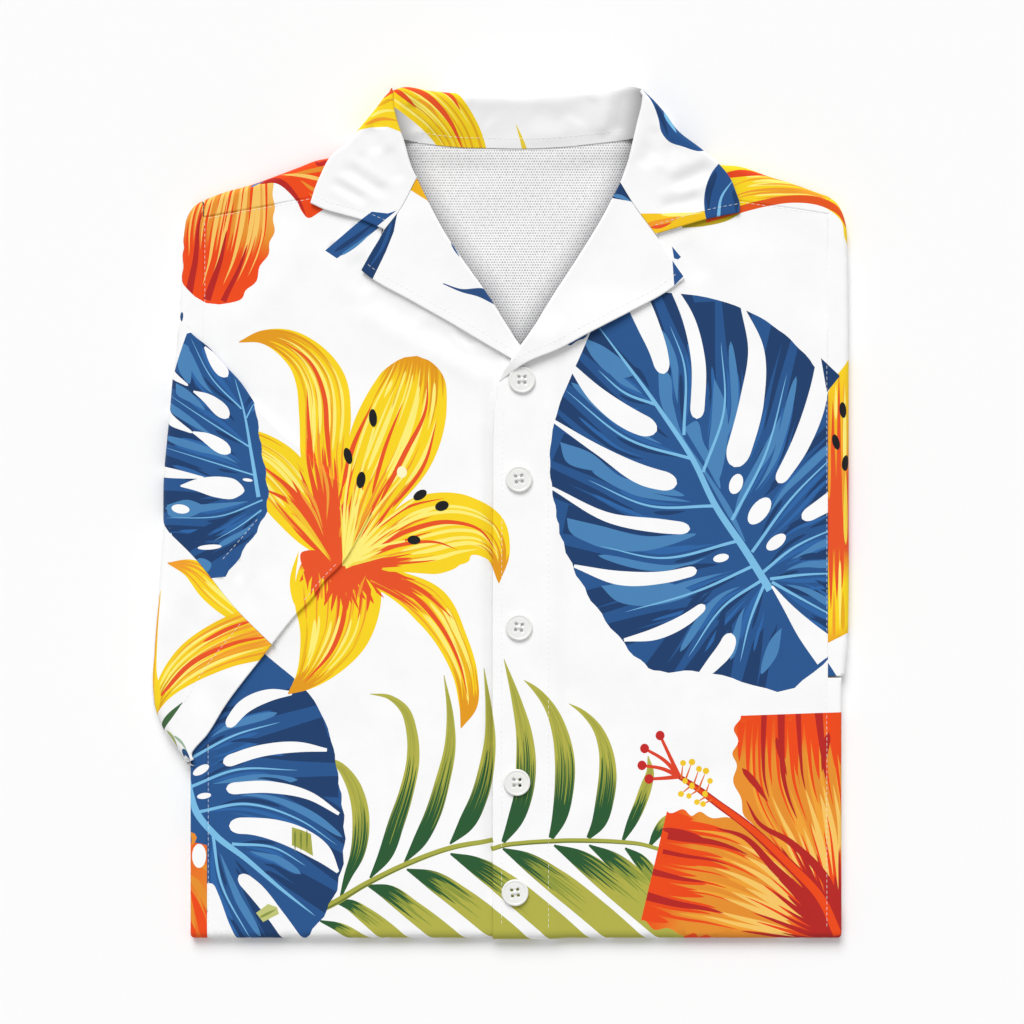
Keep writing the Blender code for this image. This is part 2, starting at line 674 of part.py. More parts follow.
def button(number, place):
    """A four-hole button: a turned profile with a rim, and four holes through it."""
    seat = plane(place.x, place.y) + GAP
    r, h = BUTTON_RADIUS, BUTTON_HEIGHT
    outline = [
        (0.0, h * 0.62), (r - BUTTON_RIM - 1.2, h * 0.62), (r - BUTTON_RIM, h), (r - 0.5, h * 0.92),
        (r, h * 0.5), (r - 0.9, 0.0), (0.0, 0.0),
    ]  # fmt: skip
    mesh = bpy.data.meshes.new("button_profile")
    mesh.from_pydata([(x * MM, 0.0, z * MM) for x, z in outline], [(k, k + 1) for k in range(6)], [])
    mesh.materials.append(HARD)
    piece = bpy.data.objects.new(f"button_{number}", mesh)
    model.objects.link(piece)
    turned = piece.modifiers.new("turned", "SCREW")
    turned.steps = turned.render_steps = 20
    turned.use_merge_vertices = True
    turned.merge_threshold = 0.00001
    turned.use_smooth_shade = True
    piece.location = Vector((place.x, place.y, seat)) * MM
    edit = bmesh.new()
    for across in (-0.5, 0.5):
        for up in (-0.5, 0.5):
            centre = Vector((across, up, 0.0)) * BUTTON_HOLE_SPACING * MM
            made = bmesh.ops.create_cone(
                edit, cap_ends=True, segments=6, depth=4 * h * MM,
                radius1=BUTTON_HOLE_RADIUS * MM, radius2=BUTTON_HOLE_RADIUS * MM,
            )  # fmt: skip
            bmesh.ops.translate(edit, verts=made["verts"], vec=centre)
    drill_mesh = bpy.data.meshes.new("drill")
    edit.to_mesh(drill_mesh)
    edit.free()
    drill = cutter(bpy.data.objects.new(f"button_{number}_drill", drill_mesh))
    cutters.objects.link(drill)
    drill.location = piece.location
    join(piece, drill, "DIFFERENCE")
    return piece


ACROSS_LEFT = [0.0, 0.08, 0.165, 0.195, 0.23] + [0.23 + 0.77 * k / 9 for k in range(1, 10)]
ACROSS_RIGHT = [0.0, 0.08, 0.165, 0.21, 0.26] + [0.26 + 0.74 * k / 9 for k in range(1, 10)]


def lapped_underside(x):
    """Underside of the lower front: it climbs where the upper front runs below it."""
    return LAP * smooth((x - FRONT_EDGE_X + 14.0) / 12.0)


hidden_layers()
back_neck()
front("front_right", FRONT_RIGHT, 24.0, ACROSS_RIGHT, lapped_underside)
front("front_left", FRONT_LEFT, 24.0, ACROSS_LEFT, lambda x: 0.0)
wrapped_strip("back_shoulder_right", YOKE_RIGHT, 20.0, 1)
wrapped_strip("back_shoulder_left", YOKE_LEFT, 20.0, 1)
side_fold("back_side_right", "right")
side_fold("back_side_left", "left")
wrapped_strip("sleeve_left", SLEEVE_LEFT, 40.0, 1)
wrapped_strip("sleeve_right_cap", SLEEVE_CAP_RIGHT, 20.0, 1)
sleeve_underside()
folded_sleeve("sleeve_right_over", SLEEVE_BACK_RIGHT, 18.0, 6)
folded_sleeve("sleeve_right_underarm", SLEEVE_FRONT_RIGHT, 18.0, 5)
lapel("facing_right", LAPEL_RIGHT, lambda x, y: STACK + rise(x, y))
lapel("facing_left", LAPEL_LEFT, plane)
collar_band()
collar_leaf("collar_leaf_right", COLLAR_LEAF_RIGHT)
collar_leaf("collar_leaf_left", COLLAR_LEAF_LEFT)
for count, spot in enumerate(BUTTONS, 1):
    button(count, spot)
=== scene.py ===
"""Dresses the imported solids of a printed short-sleeved shirt, buttoned and folded, as cloth."""

import math
from collections import namedtuple

import bmesh
import bpy
import numpy as np
from mathutils.geometry import delaunay_2d_cdt
from mathutils.kdtree import KDTree
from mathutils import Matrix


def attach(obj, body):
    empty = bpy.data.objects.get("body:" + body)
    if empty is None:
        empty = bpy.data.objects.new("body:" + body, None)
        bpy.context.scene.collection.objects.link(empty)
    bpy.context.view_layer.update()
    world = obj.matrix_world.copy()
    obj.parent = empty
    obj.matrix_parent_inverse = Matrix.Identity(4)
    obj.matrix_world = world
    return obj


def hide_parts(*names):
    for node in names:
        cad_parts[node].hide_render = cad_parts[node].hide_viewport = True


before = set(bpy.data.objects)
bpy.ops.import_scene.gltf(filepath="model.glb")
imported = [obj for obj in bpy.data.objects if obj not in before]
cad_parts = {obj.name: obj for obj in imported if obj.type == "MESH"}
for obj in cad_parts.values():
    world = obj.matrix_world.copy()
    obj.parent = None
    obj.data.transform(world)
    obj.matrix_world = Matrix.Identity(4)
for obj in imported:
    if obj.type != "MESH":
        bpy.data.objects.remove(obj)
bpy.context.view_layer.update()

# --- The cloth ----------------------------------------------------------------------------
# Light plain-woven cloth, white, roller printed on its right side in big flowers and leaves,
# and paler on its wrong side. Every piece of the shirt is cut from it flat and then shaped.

MM = 0.001
CLOTH = 0.5  # the cloth as drawn, with its nap
WEAVE = 0.9 * MM  # warp thread to warp thread as drawn
STACK = 8.6  # height of the folded body under the fronts
FOLD_RADIUS = STACK / 2
WHITE = "#FBFBFB"

Print = namedtuple("Print", "outline shade within", defaults=(None,))


def linear(colour):
    """An sRGB hex value as linear red, green and blue."""
    parts = [int(colour[k : k + 2], 16) / 255 for k in (1, 3, 5)]
    return [c / 12.92 if c <= 0.04045 else ((c + 0.055) / 1.055) ** 2.4 for c in parts]


def add(material, kind, links=(), **settings):
    """Adds a node. Settings are its properties or its inputs' values, links are pairs of an
    input and the output that feeds it."""
    tree = material.node_tree
    made = tree.nodes.new("ShaderNode" + kind)
    for key, value in settings.items():
        if key.startswith("in_"):
            made.inputs[int(key[3:])].default_value = value
        elif hasattr(made, key):
            setattr(made, key, value)
        else:
            made.inputs[key.replace("_", " ")].default_value = value
    for socket, source in links:
        tree.links.new(source, made.inputs[socket])
    return made


def blank(name):
    """A material with no nodes."""
    material = bpy.data.materials.new(name)
    material.use_nodes = True
    material.node_tree.nodes.clear()
    return material


def woven(name, colour=None):
    """Plain-woven cloth: dull, a little sheen across the fibres, and the fine check of warp
    over weft. The real pitch is 0.35 mm; it is drawn at 0.9 mm so that it can show. Without a
    colour it takes the print's."""
    material = blank(name)
    place = add(material, "UVMap", uv_map="cloth").outputs[0]
    axes = add(material, "SeparateXYZ", [(0, place)])
    waves = []
    for axis in (0, 1):
        angle = add(
            material, "Math", [(0, axes.outputs[axis])], operation="MULTIPLY",
            in_1=2 * math.pi / WEAVE,
        )
        waves.append(add(material, "Math", [(0, angle.outputs[0])], operation="SINE"))
    check = add(
        material, "Math", [(0, waves[0].outputs[0]), (1, waves[1].outputs[0])], operation="MULTIPLY"
    )
    slub = add(material, "TexNoise", [("Vector", place)], Scale=260.0, Detail=3.0)
    mixed = add(
        material, "Math", [(0, check.outputs[0]), (2, slub.outputs[0])],
        operation="MULTIPLY_ADD", in_1=0.35,
    )
    bump = add(
        material, "Bump", [("Height", mixed.outputs[0])], Strength=0.1, Distance=0.0004
    )
    cloudy = add(material, "TexNoise", [("Vector", place)], Scale=45.0, Detail=4.0, Roughness=0.6)
    shade = add(
        material, "MapRange", [(0, cloudy.outputs[0])], in_1=0.3, in_2=0.7, in_3=0.965, in_4=1.0
    )
    # The mesh's colours hold the print, and at the collar band's ends painted shade too.
    if colour is None:
        dyes, plain_dye = [(6, add(material, "VertexColor", layer_name="print_and_painted_shade").outputs[0])], {}
    else:
        dyes, plain_dye = [], {"in_6": (*linear(colour), 1.0)}
    tinted = add(
        material, "Mix", [*dyes, (7, shade.outputs[0])],
        data_type="RGBA", blend_type="MULTIPLY", Factor=1.0, **plain_dye,
    )
    cloth = add(
        material, "BsdfPrincipled", [("Base Color", tinted.outputs[2]),
                                     ("Normal", bump.outputs[0])],
        Roughness=0.82, Sheen_Weight=0.05, Sheen_Roughness=0.6,
    )
    cloth.inputs["Specular IOR Level"].default_value = 0.15
    add(material, "OutputMaterial", [("Surface", cloth.outputs[0])])
    return material


def flowing(points, step):
    """Rows about step apart on a smooth line through the given rows: x, y and what follows."""
    rows = np.array(points, float)
    if len(rows) < 2:
        return rows
    hops = np.linalg.norm(np.diff(rows[:, :2], axis=0), axis=1)
    hops = np.maximum(hops, 1e-6)
    slope = np.diff(rows, axis=0) / hops[:, None]
    tangent = np.empty_like(rows)
    tangent[0], tangent[-1] = slope[0], slope[-1]
    if len(rows) > 2:
        before, after = hops[:-1, None], hops[1:, None]
        tangent[1:-1] = (slope[:-1] * after + slope[1:] * before) / (before + after)
    out = []
    for k, hop in enumerate(hops):
        count = max(1, math.ceil(hop / step))
        t = np.arange(count)[:, None] / count
        out.append(
            rows[k] * (2 * t**3 - 3 * t**2 + 1) + tangent[k] * hop * (t**3 - 2 * t**2 + t)
            + rows[k + 1] * (3 * t**2 - 2 * t**3) + tangent[k + 1] * hop * (t**3 - t**2)
        )
    return np.vstack(out + [rows[-1:]])


def nearest(line, places):
    """For each place: its foot on the line, its distance from it, which is more than nothing
    on the line's right, and the line's other columns there."""
    count = len(places)
    best = np.full(count, 1e9)
    aside = np.zeros(count)
    foot = np.zeros((count, line.shape[1]))
    for a, b in zip(line[:-1], line[1:]):
        run = (b - a)[:2]
        length = max(np.hypot(*run), 1e-9)
        off = places - a[:2]
        share = np.clip(off @ run / length**2, 0, 1)
        gap = np.hypot(*(off - share[:, None] * run).T)
        cross = (off[:, 0] * run[1] - off[:, 1] * run[0]) / length
        nearer = (gap < best - 1e-6) | ((gap < best + 1e-6) & (np.abs(cross) > np.abs(aside)))
        best = np.where(nearer, gap, best)
        aside = np.where(nearer, cross, aside)
        foot[nearer] = (a + share[:, None] * (b - a))[nearer]
    return foot[:, :2], np.sign(aside) * best, foot[:, 2:]


def rightward(line):
    """The way to the right of each stretch of the line, as a length of one."""
    run = np.diff(line[:, :2], axis=0)
    run /= np.maximum(np.linalg.norm(run, axis=1), 1e-9)[:, None]
    return np.column_stack([run[:, 1], -run[:, 0]])


SHARP = 0.35  # radians: a corner that bends more is sharp


def moved(line, by):
    """The line moved to its right, with an arc round each sharp corner."""
    by = np.broadcast_to(by, len(line))
    normals = rightward(line)
    out = []
    for k, row in enumerate(line):
        one, two = normals[max(k - 1, 0)], normals[min(k, len(normals) - 1)]
        bend = math.atan2(one[0] * two[1] - one[1] * two[0], one @ two)
        if bend > SHARP and by[k] > 0:
            for t in np.linspace(0, 1, 6):
                c, s = math.cos(bend * t), math.sin(bend * t)
                turned = np.array([one[0] * c - one[1] * s, one[0] * s + one[1] * c])
                out.append(row[:2] + turned * by[k])
        else:
            middle = (one + two) / max(np.hypot(*(one + two)), 1e-9)
            out.append(row[:2] + middle * by[k] / max(middle @ one, 0.5))
    return np.array(out)


def moved_each(line, by):
    """Each row of the line moved to its right, corners kept sharp."""
    normals = rightward(line)
    if np.allclose(line[0, :2], line[-1, :2]):
        normals = np.vstack([normals[-1:], normals, normals[:1]])
    else:
        normals = np.vstack([normals[:1], normals, normals[-1:]])
    middle = normals[:-1] + normals[1:]
    middle /= np.maximum(np.hypot(*middle.T), 1e-9)[:, None]
    share = np.maximum(np.sum(middle * normals[:-1], axis=1), 0.5)
    return line[:, :2] + middle * (by / share)[:, None]


def inside(outline, places):
    """Which places lie inside the closed outline."""
    low, high = outline.min(axis=0), outline.max(axis=0)
    held = np.all((places >= low) & (places <= high), axis=1)
    x, y = places[held, 0], places[held, 1]
    odd = np.zeros(len(x), bool)
    for (ax, ay), (bx, by) in zip(outline, np.roll(outline, -1, axis=0)):
        if ay != by:
            odd ^= ((ay > y) != (by > y)) & (x < (bx - ax) * (y - ay) / (by - ay) + ax)
    held[held] = odd
    return held


def size_of(outline):
    """How much cloth a closed outline takes in."""
    ring = np.roll(outline, -1, axis=0)
    return abs(np.sum(outline[:, 0] * ring[:, 1] - ring[:, 0] * outline[:, 1])) / 2


def edge(points, radius=0.0, turn=180.0, reach=0.0, step=3.0):
    """One side of a panel, anticlockwise, where it shows. The cloth rolls down there by turn,
    degrees, over radius, and goes reach past where the roll starts."""
    rows = [tuple(p) + (radius, math.radians(turn), reach)[len(p) - 2 :] for p in points]
    return flowing(rows, step)


RUN_ON = 8  # how many steps a fold's roll runs on past its ends


def settle(places, height, folds):
    """Where the points of a flat panel lie once its sides are rolled down."""
    out = np.column_stack([places, height(places)])
    free = np.ones(len(places), bool)
    for line, closed, beyond in [(*f, False) for f in folds] + [(*f, True) for f in folds]:
        if beyond:
            ends = [line[0] - (line[1] - line[0]) * RUN_ON,
                    line[-1] + (line[-1] - line[-2]) * RUN_ON]
            ends[0][2:], ends[1][2:] = line[0, 2:], line[-1, 2:]
            line = np.vstack([ends[0], line, ends[1]])
        foot, aside, columns = nearest(line, places)
        radius, turn, _ = columns.T
        past = free & (aside > 0)
        if not closed:
            for end in (line[0], line[-1]):
                past &= np.hypot(*(foot - end[:2]).T) > 1e-6
        free &= ~past
        angle = np.minimum(aside / np.maximum(radius, 1e-6), turn)
        rest = aside - angle * radius
        away = (places - foot) / np.maximum(np.abs(aside), 1e-9)[:, None]
        out_by = radius * np.sin(angle) + rest * np.cos(angle)
        down = radius * (1 - np.cos(angle)) + rest * np.sin(angle)
        rolled = np.column_stack([foot + away * out_by[:, None], height(foot) - down])
        out[past] = rolled[past]
    return out


def rolling(sides):
    """The sides, with those that roll alike joined into one, each with whether it rolls and
    whether it goes all the way round."""
    runs = []
    for side in sides:
        rolls = side[:, 4].max() > 0
        joins = runs and rolls and runs[-1][1]
        if joins and np.ptp([runs[-1][0][-1, 2:], side[0, 2:]], 0).max() < 0.5:
            runs[-1][0] = np.vstack([runs[-1][0], side[1:]])
        else:
            runs.append([side, rolls, False])
    if len(runs) == 1:
        runs[0][2] = True
    for run in runs:
        inset = run[0][:, 2] * np.sin(np.minimum(run[0][:, 3], math.pi / 2))
        run[0] = np.column_stack([moved_each(run[0], -inset), run[0][:, 2:]])
    return runs


RIM = 0.4  # a row of points this far inside each open side keeps it smooth
TIGHT = 3.0  # rolls of a smaller radius get a row of points just before they start
TIGHT_ROWS, WIDE_ROWS = 5, 7  # rows of points round a roll


def guides(runs, folds, outline):
    """Lines of points that the flat mesh keeps to, each with whether it closes."""
    chains = [(outline, True)]
    chains += [
        (moved(line, np.full(len(line), -RIM)), False) for line, rolls, _ in runs if not rolls
    ]
    for line, closed in folds:
        tight = line[:, 2].max() < TIGHT
        rows = TIGHT_ROWS if tight else WIDE_ROWS
        for k in range(-1 if tight else 0, rows + 1):
            by = np.minimum(line[:, 2] * line[:, 3] * k / rows, line[:, 4] * 0.98)
            ring = moved(line, by if k >= 0 else np.full(len(line), -0.5))
            chains.append((ring[:-1] if closed else ring, closed))
    return chains


GRID_ROW, GRID_CLEAR = 0.866, 0.42  # by steps: row to row, and the least room beside the lines
MERGED = 0.004  # points that lie closer are one


def triangles(chains, outline, step):
    """Flat triangles inside the outline, on the chains and on an even grid between them."""
    points, links = [], []
    for chain, closed in chains:
        start = sum(len(c) for c in points)
        count = len(chain)
        points.append(chain)
        links += [(start + k, start + (k + 1) % count) for k in range(count - (not closed))]
    fixed = np.vstack(points)
    tree = KDTree(len(fixed))
    for k, (x, y) in enumerate(fixed):
        tree.insert((x, y, 0), k)
    tree.balance()
    low, high = outline.min(axis=0), outline.max(axis=0)
    grid = []
    for row, y in enumerate(np.arange(low[1], high[1], step * GRID_ROW)):
        xs = np.arange(low[0] + (row % 2) * step / 2, high[0], step)
        grid.append(np.column_stack([xs, np.full(len(xs), y)]))
    grid = np.vstack(grid)
    grid = grid[inside(outline, grid)]
    grid = [g for g in grid if tree.find((g[0], g[1], 0))[2] > step * GRID_CLEAR]
    every = [tuple(p) for p in fixed] + [tuple(g) for g in grid]
    flat, _, faces, *_ = delaunay_2d_cdt(every, links, [], 0, MERGED)
    flat = np.array([tuple(v) for v in flat])
    faces = np.array([f for f in faces if len(f) == 3])
    return flat, faces[inside(outline, flat[faces].mean(axis=1))]


def dyed(flat, faces, drawn, ground):
    """The colours at each face's corners: those of the last motif that it lies in."""
    middle = flat[faces].mean(axis=1)
    owner = np.full(len(faces), -1)
    for k, drawing in enumerate(drawn):
        mine = inside(drawing.outline, middle)
        if drawing.within is not None:
            mine[mine] = inside(drawing.within, middle[mine])
        owner[mine] = k
    colours = np.tile(linear(ground), (len(faces), 3, 1))
    for k in np.unique(owner[owner >= 0]):
        mine = owner == k
        corners = flat[faces[mine]].reshape(-1, 2)
        colours[mine] = drawn[k].shade(corners).reshape(-1, 3, 3)
    return colours


def panel(name, edges, height, looks, prints=(), step=2.6, bend=None, face_down=False,
          lowest=-9.0):
    """Cuts a panel of cloth with its print and shapes it. Returns the piece, and the function
    that places a flat point on it."""
    runs = rolling(edges)
    folds = [(line, closed) for line, rolls, closed in runs if rolls]
    outline = np.vstack(
        [moved(line, line[:, 4]) if rolls else line[:, :2] for line, rolls, _ in runs]
    )
    low, high = outline.min(axis=0), outline.max(axis=0)
    drawn = [
        p for p in prints if np.all(p.outline.max(0) > low) and np.all(p.outline.min(0) < high)
    ]
    chains = guides(runs, folds, outline) + [(p.outline, True) for p in drawn]
    flat, faces = triangles(chains, outline, step)
    colours = dyed(flat, faces, drawn, WHITE)
    used, faces = np.unique(faces, return_inverse=True)
    faces = faces.reshape(-1, 3)
    flat = flat[used]
    if face_down:
        faces, colours = faces[:, ::-1], colours[:, ::-1]

    def place(places):
        laid = settle(np.asarray(places, float), height, folds)
        laid[:, 2] = np.maximum(laid[:, 2], lowest)
        return laid if bend is None else bend(laid)

    mesh = bpy.data.meshes.new(name)
    mesh.from_pydata((place(flat) * MM).tolist(), [], faces.tolist())
    # The print's colours, and on the neck and the collar band painted shade as well.
    paint = mesh.color_attributes.new("print_and_painted_shade", "FLOAT_COLOR", "CORNER")
    paint.data.foreach_set("color", np.dstack([colours, np.ones((len(faces), 3, 1))]).ravel())
    mapped = mesh.uv_layers.new(name="cloth")
    mapped.data.foreach_set("uv", (flat[faces.ravel()] * MM).ravel())
    mesh.shade_smooth()
    for look in looks:
        mesh.materials.append(look)
    piece = bpy.data.objects.new(name, mesh)
    bpy.context.scene.collection.objects.link(piece)
    wall = piece.modifiers.new("wall", "SOLIDIFY")
    wall.thickness, wall.offset = CLOTH * MM, -1.0
    wall.material_offset = len(looks) - 1
    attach(piece, "root")
    return piece, place


# --- The print ----------------------------------------------------------------------------
# Dyes printed on the flat cloth: lilies, hibiscus, split leaves and palm fronds on white, each
# laid down with its brush strokes. Distances run from the middle of the folded shirt.

NAVY, BLUE, SKY, VEIN = "#1D3E6B", "#28568F", "#4B84B8", "#7CBEE6"
YELLOW, PALE_YELLOW, AMBER, SCARLET = "#FAD620", "#FFF07A", "#F2A02C", "#EA5426"
FLAME, TANGERINE, APRICOT, CRIMSON = "#EE4A16", "#E8902E", "#F8C765", "#B72622"
OLIVE, LEAF_GREEN, INK = "#B4B24B", "#2B5A33", "#1C1C1E"


def ramp(*stops):
    """Colours that run through the stops, each a share from 0 to 1 and a hex value."""
    shares = [share for share, _ in stops]
    values = np.array([linear(colour) for _, colour in stops])
    return lambda share: np.column_stack([np.interp(share, shares, v) for v in values.T])


def plain(colour):
    """One colour all over."""
    return lambda places: np.tile(linear(colour), (len(places), 1))


def along(line, colours):
    """Colours that follow a line's last column, its share of the way."""
    return lambda places: colours(nearest(line, places)[2][:, -1])


def measured(line):
    """The line with a last column: the share of the way along it."""
    way = np.append(0, np.cumsum(np.hypot(*np.diff(line[:, :2], axis=0).T)))
    return np.column_stack([line, way / way[-1]]), way


def blade(rows, blunt=0.0, ruffle=0.0, step=2.0):
    """The outline and middle line of a petal, leaflet or slit. Rows are x, y and half the
    width; blunt rounds the far end over that length, and ruffle makes it uneven."""
    line, way = measured(flowing(rows, step))
    line = np.insert(line, 3, line[:, 2], axis=1)
    if ruffle:
        line[:, 2] += ruffle * line[:, -1] * np.sin(way * 0.42 + rows[0][0])
    if blunt:
        line[:, 2] *= np.sqrt(1 - np.clip(1 - (way[-1] - way) / blunt, 0, 1) ** 2)
    return np.vstack([moved(line, line[:, 2]), moved(line, -line[:, 2])[::-1]]), line


def loop(points, step=2.5):
    """A closed smooth outline through the points."""
    return flowing([*points, points[0]], step)[:-1, :2]


def patch(points, colour):
    """A small shape of one colour with straight sides."""
    return Print(np.array(points, float), plain(colour))


def round_patch(points, colour, within=None):
    """A small shape of one colour with a smooth rim. It shows only within the outline, if
    there is one."""
    return Print(loop(points), plain(colour), within)


def slip(rows, colour):
    """A narrow shape of one colour, from its middle line and half widths."""
    return Print(blade(rows)[0], plain(colour))


def stroke(points, width, colour, whole=False, within=None):
    """One brush stroke, thin at its end, and at its start unless it is whole. It shows only
    within the outline, if there is one."""
    line, _ = measured(flowing(points, 3.0))
    share = line[:, -1]
    full = (1 - share) ** 0.6 if whole else np.sin(math.pi * share**0.65) ** 0.8
    half = width / 2 * np.maximum(full, 0.02)
    outline = np.vstack([moved(line, half), moved(line, -half)[::-1]])
    return Print(outline, plain(colour), within)


def strokes(*rows):
    """Brush strokes from rows of a width, a colour and points."""
    return [stroke(points, width, colour) for width, colour, *points in rows]


def spot(x, y, wide, high, turn, colour):
    """A filled oval, turned by so many degrees."""
    angle = np.linspace(0, 2 * math.pi, 20, endpoint=False)
    across, up = wide * np.cos(angle), high * np.sin(angle)
    c, s = math.cos(math.radians(turn)), math.sin(math.radians(turn))
    return Print(np.column_stack([x + across * c - up * s, y + across * s + up * c]), plain(colour))


Brush = namedtuple("Brush", "colour count start end width spread")


def brushed(line, brushes, dice, body=None):
    """Brush strokes along a petal or leaflet: each starts full and thins out to its end."""
    made = []
    run = np.gradient(line[:, :2], axis=0)
    right = np.column_stack([run[:, 1], -run[:, 0]]) / np.hypot(*run.T)[:, None]
    for brush in brushes:
        for k in range(brush.count):
            side = (2 * (k + dice.uniform(0.15, 0.85)) / brush.count - 1) * brush.spread
            ends = brush.start + dice.uniform(-0.04, 0.04), brush.end + dice.uniform(-0.13, 0.13)
            shares = np.clip(np.linspace(*ends, 6), 0, 1)
            at = lambda column: np.interp(shares, line[:, -1], column)
            half = at(line[:, 3]) * side
            spots = [at(line[:, c]) + at(right[:, c]) * half for c in (0, 1)]
            width = brush.width * dice.uniform(0.6, 1.35)
            whole = brush.start < 0.15 or brush.start > 0.9
            made.append(stroke(np.column_stack(spots), width, brush.colour, whole, body))
    return made


def petal(rows, ground, brushes, dice, blunt=0.0, ruffle=0.0):
    """A petal or leaflet with its strokes."""
    body, line = blade(rows, blunt, ruffle)
    return [Print(body, along(line, ramp(*ground)))] + brushed(line, brushes, dice, body)


LeafStroke = namedtuple("LeafStroke", "aside colour inner outer width")
LEAF_STROKES = (
    LeafStroke(11.0, NAVY, 0.46, 1.0, 9.5), LeafStroke(-11.0, NAVY, 0.42, 1.0, 9.0),
    LeafStroke(6.0, NAVY, 0.60, 1.0, 6.5), LeafStroke(-6.5, NAVY, 0.55, 1.0, 6.0),
    LeafStroke(15.0, NAVY, 0.30, 1.0, 9.0), LeafStroke(-15.0, NAVY, 0.35, 1.0, 8.0),
    LeafStroke(3.4, "#2F66A6", 0.12, 0.85, 3.0), LeafStroke(-3.2, NAVY, 0.10, 0.6, 2.4),
    LeafStroke(8.0, "#2F66A6", 0.25, 0.95, 2.6), LeafStroke(-8.5, "#2F66A6", 0.3, 0.95, 2.2),
)


def split_leaf(rows, spine, veins, slits, ovals, seed, stem=5.0, light=()):
    """A split leaf: blue, with navy strokes in from the rim and lighter ones beside its veins,
    and white slits and holes. Rows are its middle line and half widths. Each slit has its own
    rows and the length over which its end is round. Light holds its lighter patches."""
    dice = np.random.default_rng(seed)
    body = blade(rows, ruffle=1.2, step=4.0)[0]
    made = [Print(body, plain(BLUE))]
    for points in veins:
        line, way = measured(flowing(points, 3.0))
        count = len(line)
        line = np.vstack([line, line[-1] + np.arange(1, 10)[:, None] * (line[-1] - line[-2])])
        bulge = np.sin(math.pi * np.minimum(line[:, -1], 0.6))
        size = min(1.0, way[-1] / 52)
        for one in LEAF_STROKES:
            beside = moved(line, bulge * one.aside * size * dice.uniform(0.75, 1.25))
            first = one.inner + dice.uniform(-0.12, 0.12)
            last = one.outer - (dice.uniform(0, 0.2) if one.outer < 1 else 0)
            cut = beside[int(first * count) : math.ceil(last * count) if last < 1 else None]
            if len(cut) > 3:
                grown = one.width * size * dice.uniform(0.75, 1.25)
                made.append(stroke(cut[::-1], grown, one.colour, one.outer == 1, body))
        beside = moved(line, dice.choice((-1, 1)) * bulge * 6.5 * size)
        cut = beside[int(dice.uniform(0.15, 0.4) * count) : count]
        if len(cut) > 3:
            made.append(stroke(cut[::-1], 5.0 * size, SKY, False, body))
    made += [round_patch(points, SKY, body) for points in light]
    made += [stroke(points, 0.4 * stem, VEIN, True) for points in veins]
    made.append(stroke(spine, stem, VEIN, True))
    made += [Print(blade(slit, blunt, step=1.2)[0], plain(WHITE)) for slit, blunt in slits]
    return made + [spot(*oval, WHITE) for oval in ovals]


# Lily: six yellow petals, scarlet at the throat, with dark anthers on pale filaments.
LILY_GROUND = ((0, SCARLET), (0.07, SCARLET), (0.1, "#F0862A"), (0.13, YELLOW), (0.86, YELLOW),
               (1, "#E8951C"))
LIT_GROUND = ((0, PALE_YELLOW), (0.1, "#F7C93A"), (0.2, YELLOW), (0.9, YELLOW), (1, "#E9A01C"))
TIP_BRUSH = Brush("#E49B1C", 12, 1.0, 0.76, 2.2, 0.92)
LILY_BRUSHES = (
    Brush(AMBER, 7, 0.05, 0.55, 2.6, 0.85),
    Brush(PALE_YELLOW, 6, 0.42, 0.86, 2.3, 0.75),
    Brush("#EFB81C", 5, 0.89, 0.5, 1.6, 0.86),
    Brush(SCARLET, 12, 0.0, 0.34, 4.4, 0.76),
    Brush("#F49A2C", 4, 0.08, 0.34, 1.7, 0.6),
    TIP_BRUSH,
)
TOP_BRUSHES = (
    Brush(AMBER, 8, 0.05, 0.55, 2.4, 0.85),
    Brush(SCARLET, 7, 0.0, 0.36, 3.0, 0.85),
    Brush(PALE_YELLOW, 8, 0.4, 0.84, 2.4, 0.8),
    TIP_BRUSH._replace(count=17, end=0.8, width=2.0),
    Brush(PALE_YELLOW, 6, 0.89, 0.66, 1.9, 0.75),
)
LIT_BRUSHES = (
    Brush(AMBER, 7, 0.1, 0.5, 2.2, 0.8),
    Brush(PALE_YELLOW, 7, 0.3, 0.84, 2.2, 0.8),
    Brush(SCARLET, 5, 0.04, 0.4, 2.2, 0.8),
    TIP_BRUSH,
)
